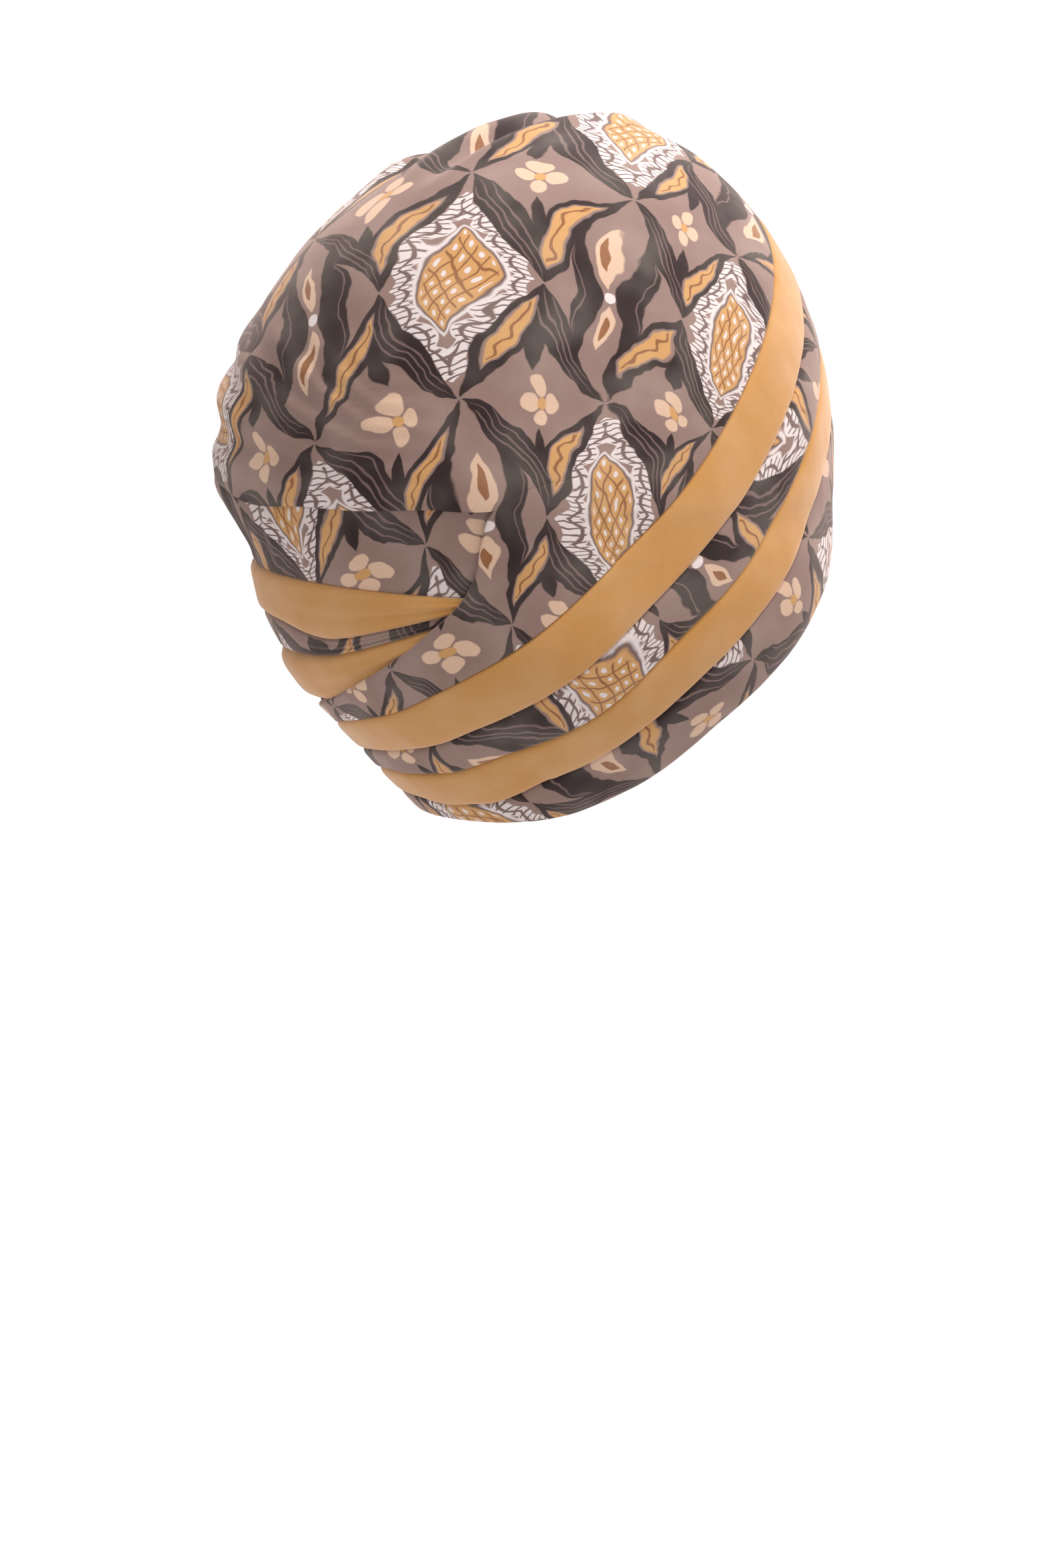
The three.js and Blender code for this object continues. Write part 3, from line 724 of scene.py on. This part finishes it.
def add_tongue(cloth):
    """Tongue of the crown, from its free edge over the tucked end of the band to its seam."""
    steps = np.linspace(0, TONGUE["step"][-1], TONGUE_ROWS)
    edge_turn, edge_z, base, base_z = tongue_edges(steps)
    k = np.linspace(0, 1, TONGUE_ACROSS)[None, :]
    join = ramp(TONGUE_JOIN, steps)[:, None]
    turn = edge_turn[:, None] + (base - edge_turn)[:, None] * k
    z = edge_z[:, None] + (base_z - edge_z)[:, None] * k
    lip = ramp(TONGUE_LIP, base)[:, None]
    foot = crown_foot(turn)
    out = crossing_lift(turn, z - tuck_line(turn, foot)) + lip * crown_out(turn, z, foot) + TONGUE_OVER
    sunk = np.maximum(ramp(JOIN_SINK_ACROSS, k), ramp(JOIN_SINK_STEPS, steps)[:, None])
    out = out - JOIN_SINK * join * sunk
    flat = form_point(turn, z)
    out = out + (1 - join) * waves(flat, TONGUE_WAVES) * np.sqrt(np.sin(np.pi * k))
    out = out + join * dome_waves(flat, z - foot)
    surface = cloth_point(turn, z, out)
    normal = form_normal(turn, z)
    walked = np.linalg.norm(surface - surface[:, :1], axis=-1)
    thick = JERSEY + TONGUE_HEM * ramp(TONGUE_HEM_WIDE, walked) * (1 - join)
    inner = surface - normal * thick[..., None]
    free, free_normal = surface[:, 0], normal[:, 0]
    free_way = unit(surface[:, 0] - surface[:, 1])
    sewn, sewn_normal = surface[:, -1], normal[:, -1]
    sewn_way = unit(surface[:, -1] - surface[:, -2])
    rounded = beyond(free, free_way, free_normal, TONGUE_ROUND)
    rounded_inside = beyond(free, free_way, free_normal, TONGUE_ROUND_INSIDE)
    seam = beyond(sewn, sewn_way, sewn_normal, TONGUE_SEAM)
    seam_inside = seam - sewn_normal[:, None] * JERSEY
    outer = np.concatenate([rounded, surface, seam], axis=1)
    inner = np.concatenate([rounded_inside, inner, seam_inside], axis=1)
    cloth.add(outer, inner, crown_cloth(outer), flipped=True)


def add_strip(cloth, lines, edges, order):
    """One strip of the band, with its edges rolled into the seams beside it."""
    turns = lines.turns
    start = edges[order] + STRIP_HALF_GAP
    end = edges[order + 1] - (0.0 if order == HEM_ORDER else STRIP_HALF_GAP)
    width = (end - start)[:, None]
    roll = np.minimum(1, width / ROLL_FULL_AT)
    rolled = ROLL["inset"] * roll
    fill = np.linspace(0, 1, STRIP_FILL + 2)[None, 1:-1]
    filled = rolled[:, -1:] + (width - 2 * rolled[:, -1:]) * fill
    across = np.concatenate([rolled, filled, width - rolled[:, ::-1]], axis=1)
    share = across / width
    depth = np.concatenate([ROLL["out"], np.zeros(STRIP_FILL), ROLL["out"][::-1]])[None, :] * roll
    puff = STRIP_PUFF + BACK_PUFF[order] * ramp(BACK_PUFF_IN, turns) * ramp(BACK_PUFF_OUT, turns)
    depth = depth + puff[:, None] * (1 - (2 * share - 1) ** PUFF_POWER) * roll
    drawn = DRAWN_DEPTH * ramp(DRAWN_TURNS, turns)[:, None]
    depth = depth + drawn * np.cos(2 * np.pi * share * DRAWN_FOLDS) * np.sin(np.pi * share)
    inner = depth - JERSEY
    if order > 0:
        low = ALLOWANCE["out"] * roll
        across = np.concatenate([ALLOWANCE["across"] * roll, across], axis=1)
        depth = np.concatenate([low, depth], axis=1)
        inner = np.concatenate([low - JERSEY, inner], axis=1)
    if order == HEM_ORDER:
        turned = HEM["inset"] * np.minimum(1, width / HEM_FULL_AT)
        low = np.broadcast_to(HEM["out"], turned.shape)
        inner[:, -1] = HEM_FOLD
        across = np.concatenate([across, width - turned], axis=1)
        depth = np.concatenate([depth, low], axis=1)
        inner = np.concatenate([inner, low + JERSEY], axis=1)
    down = start[:, None] + across
    turn, z = lines.place(down)
    lift = band_lift(turns)[:, None] + waves(form_point(turn, z), STRIP_WAVES)
    outer = cloth_point(turn, z, lift + depth)
    mid = outer[:, outer.shape[1] // 2]
    run = np.concatenate([[0.0], np.cumsum(np.linalg.norm(np.diff(mid, axis=0), axis=1))])
    place = np.stack([np.broadcast_to(run[:, None], down.shape), -down], -1)
    cloth.add(outer, cloth_point(turn, z, lift + inner), place, flipped=True)


# Colours


def linear(red, green, blue):
    """Colour for a shader from the usual 0 to 255 of a screen."""
    def one(c):
        c = c / 255
        return c / 12.92 if c <= 0.04045 else ((c + 0.055) / 1.055) ** 2.4
    return (one(red), one(green), one(blue), 1.0)


TAUPE = linear(130, 104, 96)
DARK = linear(38, 23, 23)
GOLD = linear(186, 138, 86)
DEEP_GOLD = linear(132, 84, 50)
PEACH = linear(198, 164, 140)
PALE = linear(205, 191, 188)
ASH = linear(102, 80, 76)
MUSTARD = linear(179, 127, 67)
REVERSE = linear(214, 200, 190)
MELANGE = linear(70, 55, 48)
FADED = linear(240, 225, 210)
NAP_TINT = linear(255, 226, 214)


# Node trees

MIX_SHARE = 0
MIX_BASE = 6
MIX_OVER = 7
MIX_RESULT = 2


class Wire:
    """One number in a node tree, with arithmetic that adds nodes."""

    def __init__(self, tree, socket):
        self.tree = tree
        self.socket = socket

    def made(self, operation, *values):
        node = self.tree.nodes.new("ShaderNodeMath")
        node.operation = operation
        for place, value in enumerate(values):
            if isinstance(value, Wire):
                self.tree.links.new(value.socket, node.inputs[place])
            else:
                node.inputs[place].default_value = value
        return Wire(self.tree, node.outputs[0])

    def __add__(self, other):
        return self.made("ADD", self, other)

    def __sub__(self, other):
        return self.made("SUBTRACT", self, other)

    def __rsub__(self, other):
        return self.made("SUBTRACT", other, self)

    def __mul__(self, other):
        return self.made("MULTIPLY", self, other)

    def __truediv__(self, other):
        return self.made("DIVIDE", self, other)

    def __abs__(self):
        return self.made("ABSOLUTE", self)

    def squared(self):
        return self.made("MULTIPLY", self, self)

    def sine(self):
        return self.made("SINE", self)

    def cosine(self):
        return self.made("COSINE", self)

    def rest(self):
        return self.made("FRACT", self)

    def nearest(self):
        return self.made("ROUND", self)

    def lesser(self, other):
        return self.made("MINIMUM", self, other)

    def under(self, limit, soft):
        """1 where the number is under the limit, 0 over it, with a soft edge."""
        node = self.tree.nodes.new("ShaderNodeMapRange")
        node.interpolation_type = "SMOOTHSTEP"
        self.tree.links.new(self.socket, node.inputs["Value"])
        node.inputs["From Min"].default_value = limit - soft
        node.inputs["From Max"].default_value = limit + soft
        node.inputs["To Min"].default_value = 1.0
        node.inputs["To Max"].default_value = 0.0
        return Wire(self.tree, node.outputs["Result"])


def painted(tree, base, share, colour):
    """Socket of the base colour with another laid over it by a share, a wire or one number."""
    node = tree.nodes.new("ShaderNodeMix")
    node.data_type = "RGBA"
    if isinstance(share, Wire):
        tree.links.new(share.socket, node.inputs[MIX_SHARE])
    else:
        node.inputs[MIX_SHARE].default_value = share
    for place, value in ((MIX_BASE, base), (MIX_OVER, colour)):
        if isinstance(value, tuple):
            node.inputs[place].default_value = value
        else:
            tree.links.new(value, node.inputs[place])
    return node.outputs[MIX_RESULT]


def noise(tree, place, scale, detail):
    node = tree.nodes.new("ShaderNodeTexNoise")
    node.inputs["Scale"].default_value = scale
    node.inputs["Detail"].default_value = detail
    tree.links.new(place, node.inputs["Vector"])
    return node


def split(tree, socket):
    node = tree.nodes.new("ShaderNodeSeparateXYZ")
    tree.links.new(socket, node.inputs[0])
    return Wire(tree, node.outputs[0]), Wire(tree, node.outputs[1])


# Print: flame leaves along an ogee trellis, with lace medallions and leaf sprays in its cells.
# Lengths are millimetres on the cloth. A leaf has a half width and a half length; an edge has a softness.

PRINT_WIDE = 47.0
PRINT_TALL = 76.0
PRINT_SLANT = math.radians(-16)
PRINT_DRIFTS = ((0.028, 24), (0.15, 3.0))
PRINT_DRIFT_DETAIL = 1.0
EDGE = 0.32
ODD_CELL = 0.25
ODD_CELL_SOFT = 0.01

# Flower between the cells, and a small leaf over it
PETAL_UP = 5.2
PETAL_SIDE = 4.6
PETAL_AREA = (9.6, 1.6)
FLOWER_HEART = (4.0, 1.2)
BUD_LEAF = (2.4, 6.0)
BUD_LEAF_UP = 15.5
BUD_LEAF_SOFT = 0.12

# Lace medallion: how deep its scallops reach into the cell and how high they arch, then its almond
ARCH_PITCH = 7.6
LACE = ((10.4, 3.8, PALE), (7.6, 3.6, ASH), (6.4, 3.2, PALE))
LACE_BARS = (9.8, 3.4)
LACE_BAR_PITCH = 1.9
LACE_BAR_WIDTH = (0.13, 0.07)
LACE_RIM = (3.4, 2.6)
ALMOND_LEAF = (0.22 * PRINT_WIDE, 0.26 * PRINT_TALL)
ALMOND = ((1.12, PALE), (1.0, ASH), (0.90, GOLD))
ALMOND_SOFT = 0.05
NET_EDGE = 0.80
NET_PITCH = 5.2
NET_SLANT = 0.62
NET_LINE = (0.07, 0.04)
NET_DOT = (0.035, 0.015)

# Leaf spray: two bent leaves, pods between them and a dot in the middle
SPRAY_SIDE = 7.6
SPRAY_BEND = 2.2
SPRAY_BENDS = 3
SPRAY_LEAF = (5.2, 23.0)
SPRAY_LEAF_EDGE = (1.0, 0.07)
SPRAY_VEIN_SIDE = 2.4
SPRAY_VEIN = (0.26, 0.16)
SPRAY_VEIN_EDGE = (0.9, 0.1)
POD_LEAF = (3.6, 9.0)
POD_UP = 12.5
POD_EDGE = (1.0, 0.08)
SEED_LEAF = (1.7, 5.0)
SEED_UP = 13.5
SEED_EDGE = (1.0, 0.1)
SPRAY_DOT = (5.0, 1.2)

# Flame leaves along the trellis
FLAME_WIDTH = 6.6
FLAME_TAPER = 27
FLAME_SIDE_SOFT = 0.6
FLAME_VEINS = (-2.6, 0.4, 2.9)
FLAME_VEIN_TAPER = 2.0
FLAME_VEIN = (0.42, 0.18)
FLAME_VEIN_INSET = -0.6
HEART_WIDTH = 4.2
HEART_TAPER = 38
HEART_RIM = -0.9
SQUIGGLE_RATE = 0.9
SQUIGGLE_SWING = 0.8
SQUIGGLE_LINE = (0.5, 0.2)
SQUIGGLE_INSET = (-1.6, 0.4)


def leaf(across, up, size):
    """Under 1 within a pointed leaf of a half width and a half length."""
    return across / size[0] + (up / size[1]).squared()


def round_spot(x, y):
    return x.squared() + y.squared()


class Print:
    """Node group that turns a place on the cloth into the print's colour."""

    def __init__(self):
        self.tree = bpy.data.node_groups.new("ogee_print", "ShaderNodeTree")
        self.tree.interface.new_socket("Cloth", in_out="INPUT", socket_type="NodeSocketVector")
        self.tree.interface.new_socket("Colour", in_out="OUTPUT", socket_type="NodeSocketColor")
        self.colour = TAUPE
        self.set_cells(self.tree.nodes.new("NodeGroupInput").outputs[0])
        self.lay_flowers()
        self.lay_medallions()
        self.lay_sprays()
        self.lay_flames()
        end = self.tree.nodes.new("NodeGroupOutput")
        self.tree.links.new(self.colour, end.inputs[0])

    def lay(self, mask, cells, tint):
        self.colour = painted(self.tree, self.colour, mask * cells, tint)

    def set_cells(self, place):
        """Cells of the trellis: the place in a cell, how far inside its edge, and which kind it is."""
        s, t = split(self.tree, place)
        for scale, reach in PRINT_DRIFTS:
            drift = noise(self.tree, place, scale, PRINT_DRIFT_DETAIL)
            drift_s, drift_t = split(self.tree, drift.outputs["Color"])
            s = s + (drift_s - 0.5) * reach
            t = t + (drift_t - 0.5) * reach
        u = (s * math.cos(PRINT_SLANT) - t * math.sin(PRINT_SLANT)) / PRINT_WIDE
        v = (s * math.sin(PRINT_SLANT) + t * math.cos(PRINT_SLANT)) / PRINT_TALL
        column, row = u.nearest(), v.nearest()
        self.x, self.y = (u - column) * PRINT_WIDE, (v - row) * PRINT_TALL
        self.ax, self.ay = abs(self.x), abs(self.y)
        self.inward = (self.y * (math.pi / PRINT_TALL)).cosine() * (PRINT_WIDE / 2) - self.ax
        self.between = self.inward.under(0.0, EDGE)
        inside = 1.0 - self.between
        odd = abs(((column + row) * 0.5).rest() - 0.5)
        self.sprays = odd.under(ODD_CELL, ODD_CELL_SOFT) * inside
        self.laces = inside - self.sprays

    def lay_flowers(self):
        x = PRINT_WIDE / 2 - self.ax
        y = PRINT_TALL / 2 - self.ay
        petals = round_spot(x, y - PETAL_UP).lesser(round_spot(x - PETAL_SIDE, y))
        self.lay(petals.under(*PETAL_AREA), self.between, PEACH)
        self.lay(round_spot(x, y).under(*FLOWER_HEART), self.between, GOLD)
        self.lay(leaf(x, y - BUD_LEAF_UP, BUD_LEAF).under(1.0, BUD_LEAF_SOFT), self.between, DARK)

    def lay_medallions(self):
        arches = abs((self.y * (math.pi / ARCH_PITCH)).sine())

        def scallop(reach, arch):
            return (self.inward - reach - arches * arch).under(0.0, EDGE)

        for reach, arch, tint in LACE:
            self.lay(scallop(reach, arch), self.laces, tint)
        bars = abs((self.y / LACE_BAR_PITCH).rest() - 0.5).under(*LACE_BAR_WIDTH)
        self.lay(bars * scallop(*LACE_BARS), self.laces, ASH)
        self.lay(scallop(*LACE_RIM), self.laces, TAUPE)
        almond = leaf(self.ax, self.y, ALMOND_LEAF)
        for edge, tint in ALMOND:
            self.lay(almond.under(edge, ALMOND_SOFT), self.laces, tint)
        slant = self.y * NET_SLANT
        rise = abs(((self.ax + slant) / NET_PITCH).rest() - 0.5)
        fall = abs(((self.ax - slant) / NET_PITCH).rest() - 0.5)
        net = almond.under(NET_EDGE, ALMOND_SOFT)
        self.lay(rise.lesser(fall).under(*NET_LINE) * net, self.laces, DEEP_GOLD)
        self.lay(round_spot(rise - 0.5, fall - 0.5).under(*NET_DOT) * net, self.laces, PALE)

    def lay_sprays(self):
        swing = (self.y * (SPRAY_BENDS * math.pi / PRINT_TALL)).sine().squared() * SPRAY_BEND
        bent = self.ax - SPRAY_SIDE - swing
        blade = leaf(abs(bent), self.y, SPRAY_LEAF)
        self.lay(blade.under(*SPRAY_LEAF_EDGE), self.sprays, DARK)
        vein = abs(bent - SPRAY_VEIN_SIDE).under(*SPRAY_VEIN) * blade.under(*SPRAY_VEIN_EDGE)
        self.lay(vein, self.sprays, ASH)
        self.lay(leaf(self.ax, self.ay - POD_UP, POD_LEAF).under(*POD_EDGE), self.sprays, PEACH)
        self.lay(leaf(self.ax, self.ay - SEED_UP, SEED_LEAF).under(*SEED_EDGE), self.sprays, DEEP_GOLD)
        self.lay(round_spot(self.ax, self.y).under(*SPRAY_DOT), self.sprays, PALE)

    def lay_flames(self):
        """Flame leaves over the cells' edges, every other one with a gold heart and the rest veined."""
        off_middle = (self.ay / (PRINT_TALL / 2) - 0.5).squared()
        flame = abs(self.inward) - (FLAME_WIDTH - off_middle * FLAME_TAPER)
        hearted = (self.x * self.y).under(0.0, FLAME_SIDE_SOFT)
        veined = 1.0 - hearted
        self.colour = painted(self.tree, self.colour, flame.under(0.0, EDGE), DARK)
        for off in FLAME_VEINS:
            vein = (abs(self.inward - off) + off_middle * FLAME_VEIN_TAPER).under(*FLAME_VEIN)
            self.lay(vein * flame.under(FLAME_VEIN_INSET, EDGE), veined, ASH)
        heart = abs(self.inward) - HEART_WIDTH + off_middle * HEART_TAPER
        self.lay(heart.under(0.0, EDGE), hearted, TAUPE)
        self.lay(heart.under(HEART_RIM, EDGE), hearted, GOLD)
        squiggle = abs(self.inward + (self.y * SQUIGGLE_RATE).sine() * SQUIGGLE_SWING)
        self.lay(squiggle.under(*SQUIGGLE_LINE) * heart.under(*SQUIGGLE_INSET), hearted, DEEP_GOLD)


# Jersey: a noise has a scale and a detail, a tint of it a limit, a softness and a share

NAP = 0.26
STRIPE_NAP = 0.55
NAP_ROUGHNESS = 0.45
JERSEY_ROUGHNESS = 0.86
JERSEY_SPECULAR = 0.25
REVERSE_SHARE = 0.55
MELANGE_NOISE = (1.9, 3.0)
MELANGE_UNDER = (0.44, 0.12)
MELANGE_SHARE = 0.10
FADED_NOISE = (0.045, 2.0)
FADED_OVER = (0.55, 0.2)
FADED_SHARE = 0.07
WALE = 0.8
COURSE = 0.6
COURSE_BEND = 0.9
WALE_SHARE = 0.6
COURSE_SHARE = 0.4
KNIT_BUMP = (0.25, 0.00018)
CREASE_BUMP = (0.5, 0.0009)
CREASE_NOISE = (0.07, 2.5)


def bump(tree, height, strength, distance):
    node = tree.nodes.new("ShaderNodeBump")
    node.inputs["Strength"].default_value = strength
    node.inputs["Distance"].default_value = distance
    tree.links.new(height, node.inputs["Height"])
    return node


def jersey(name, plain=None, group=None, reverse=False, nap=NAP):
    """Knitted jersey with a soft nap: plain, or printed by a group."""
    material = bpy.data.materials.new(name)
    material.use_nodes = True
    tree = material.node_tree
    shader = tree.nodes["Principled BSDF"]
    where = tree.nodes.new("ShaderNodeUVMap")
    where.uv_map = "cloth"
    place = where.outputs[0]
    if group:
        printed = tree.nodes.new("ShaderNodeGroup")
        printed.node_tree = group
        tree.links.new(place, printed.inputs[0])
        colour = printed.outputs[0]
    else:
        colour = plain
    if reverse:
        colour = painted(tree, colour, REVERSE_SHARE, REVERSE)
    melange = Wire(tree, noise(tree, place, *MELANGE_NOISE).outputs["Fac"]).under(*MELANGE_UNDER)
    colour = painted(tree, colour, melange * MELANGE_SHARE, MELANGE)
    faded = 1.0 - Wire(tree, noise(tree, place, *FADED_NOISE).outputs["Fac"]).under(*FADED_OVER)
    colour = painted(tree, colour, faded * FADED_SHARE, FADED)
    tree.links.new(colour, shader.inputs["Base Color"])
    shader.inputs["Roughness"].default_value = JERSEY_ROUGHNESS
    shader.inputs["Specular IOR Level"].default_value = JERSEY_SPECULAR
    shader.inputs["Sheen Weight"].default_value = nap
    shader.inputs["Sheen Roughness"].default_value = NAP_ROUGHNESS
    shader.inputs["Sheen Tint"].default_value = NAP_TINT
    s, t = split(tree, place)
    wale = abs((s * (math.pi / WALE)).sine())
    course = abs((t * (math.pi / COURSE) + wale * COURSE_BEND).sine())
    knit = bump(tree, (wale * WALE_SHARE + course * COURSE_SHARE).socket, *KNIT_BUMP)
    crease = bump(tree, noise(tree, place, *CREASE_NOISE).outputs["Fac"], *CREASE_BUMP)
    tree.links.new(knit.outputs[0], crease.inputs["Normal"])
    tree.links.new(crease.outputs[0], shader.inputs["Normal"])
    return material


# Camera

CAMERA_TURN = math.radians(47)
CAMERA_RISE = math.radians(7)
CAMERA_ROLL = math.radians(2.5)
CAMERA_FAR = 2200.0
PIXELS_PER_MM = 4.74
AIM = (821.0, 712.0)
PHOTO = (1568.0, 2352.0)
SENSOR = 36
CLIP_END = 100
UP = Vector((0, 0, 1))


def make_camera():
    towards = Vector((
        -math.sin(CAMERA_TURN) * math.cos(CAMERA_RISE),
        math.cos(CAMERA_TURN) * math.cos(CAMERA_RISE),
        math.sin(CAMERA_RISE),
    ))
    right = (-towards).cross(UP).normalized()
    up = right.cross(-towards)
    right_turned = right * math.cos(CAMERA_ROLL) + up * math.sin(CAMERA_ROLL)
    up_turned = up * math.cos(CAMERA_ROLL) - right * math.sin(CAMERA_ROLL)
    level = Matrix((right_turned, up_turned, towards)).transposed()
    focal = PIXELS_PER_MM * CAMERA_FAR
    aimed = Vector(((AIM[0] - PHOTO[0] / 2) / focal, -(AIM[1] - PHOTO[1] / 2) / focal, -1)).normalized()
    swing = aimed.rotation_difference(-UP).to_matrix()
    data = bpy.data.cameras.new("camera")
    data.sensor_fit = "VERTICAL"
    data.sensor_height = SENSOR
    data.lens = focal / PHOTO[1] * SENSOR
    data.clip_end = CLIP_END
    camera = bpy.data.objects.new("camera", data)
    camera.matrix_world = Matrix.Translation(towards * CAMERA_FAR * MM) @ (level @ swing).to_4x4()
    bpy.context.scene.collection.objects.link(camera)
    bpy.context.scene.camera = camera
    return towards, right


towards, right = make_camera()

# Cap

ogee = Print().tree
crown_print = jersey("crown_print", group=ogee)
band_print = jersey("band_print", group=ogee)
mustard = jersey("mustard_jersey", plain=MUSTARD, nap=STRIPE_NAP)
print_reverse = jersey("print_reverse", group=ogee, reverse=True)
mustard_reverse = jersey("mustard_reverse", plain=MUSTARD, reverse=True)

crown_sheets = Cloth()
add_dome(crown_sheets)
add_tongue(crown_sheets)
crown = crown_sheets.made("crown_cloth", [crown_print, print_reverse])
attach(crown, "root")
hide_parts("crown")

# Each strip: node, face, reverse, slot, flat width in metres, and the piece it is sewn to
STRIPS = (
    ("stripe_upper", mustard, mustard_reverse, "mustard_jersey", 0.025, "crown"),
    ("band_middle", band_print, print_reverse, "band_print", 0.019, "stripe_upper"),
    ("stripe_lower", mustard, mustard_reverse, "mustard_jersey", 0.023, "band_middle"),
    ("band_hem", band_print, print_reverse, "band_print", 0.030, "stripe_lower"),
)
lines = Lines(np.linspace(TAIL_TURN, TUCKED_TURN, BAND_ROWS))
edges = strip_edges(lines.turns, lines.length)
for order, (node, face, reverse, slot, wide, beside) in enumerate(STRIPS):
    strip_sheet = Cloth()
    add_strip(strip_sheet, lines, edges, order)
    piece = strip_sheet.made(node + "_cloth", [face, reverse])
    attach(piece, "root")
    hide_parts(node)

# Floor and light

FLOOR_Z = -0.70
FLOOR_REACH = 30
FLOOR_GREY = 0.42
FLOOR_ROUGHNESS = 0.9
FLOOR_SPECULAR = 0.1

# Light from all round, white at the horizon and weaker overhead
SKY_FADE = (0.14, 0.40)
SKY_LOW = 1.0
SKY_HIGH = 0.40

# Soft lights: how far towards the camera, to its right and up, the strength, and the spread in degrees
LIGHTS = {
    "key": ((0.35, 1.0, 1.5), 2.7, 30),
    "top": ((0.9, 0.1, 1.6), 1.1, 36),
    "behind": ((-0.6, 0.2, 1.0), 3.6, 40),
}


def make_floor():
    mesh = bpy.data.meshes.new("floor")
    corners = ((-1, -1), (1, -1), (1, 1), (-1, 1))
    mesh.from_pydata([(x * FLOOR_REACH, y * FLOOR_REACH, FLOOR_Z) for x, y in corners], [], [(0, 1, 2, 3)])
    look = bpy.data.materials.new("floor")
    look.use_nodes = True
    shader = look.node_tree.nodes["Principled BSDF"]
    shader.inputs["Base Color"].default_value = (FLOOR_GREY, FLOOR_GREY, FLOOR_GREY, 1)
    shader.inputs["Roughness"].default_value = FLOOR_ROUGHNESS
    shader.inputs["Specular IOR Level"].default_value = FLOOR_SPECULAR
    mesh.materials.append(look)
    floor = bpy.data.objects.new("floor", mesh)
    bpy.context.scene.collection.objects.link(floor)
    return floor


def make_sky():
    world = bpy.data.worlds.new("studio")
    world.use_nodes = True
    tree = world.node_tree
    background = tree.nodes["Background"]
    background.inputs["Color"].default_value = (1, 1, 1, 1)
    way = tree.nodes.new("ShaderNodeTexCoord")
    apart = tree.nodes.new("ShaderNodeSeparateXYZ")
    fading = tree.nodes.new("ShaderNodeMapRange")
    fading.interpolation_type = "SMOOTHSTEP"
    fading.inputs["From Min"].default_value = SKY_FADE[0]
    fading.inputs["From Max"].default_value = SKY_FADE[1]
    fading.inputs["To Min"].default_value = SKY_LOW
    fading.inputs["To Max"].default_value = SKY_HIGH
    tree.links.new(way.outputs["Generated"], apart.inputs[0])
    tree.links.new(apart.outputs["Z"], fading.inputs["Value"])
    tree.links.new(fading.outputs["Result"], background.inputs["Strength"])
    bpy.context.scene.world = world


def make_light(name, place, strength, spread):
    """Even light from the side where the place lies, soft by its spread in degrees."""
    data = bpy.data.lights.new(name, "SUN")
    data.energy = strength
    data.angle = math.radians(spread)
    light = bpy.data.objects.new(name, data)
    light.location = place
    light.rotation_euler = (-place).to_track_quat("-Z", "Y").to_euler()
    bpy.context.scene.collection.objects.link(light)


floor = make_floor()
make_sky()
for name, ((near, side, high), strength, spread) in LIGHTS.items():
    make_light(name, towards * near + right * side + UP * high, strength, spread)
bpy.context.scene.view_settings.view_transform = "Standard"
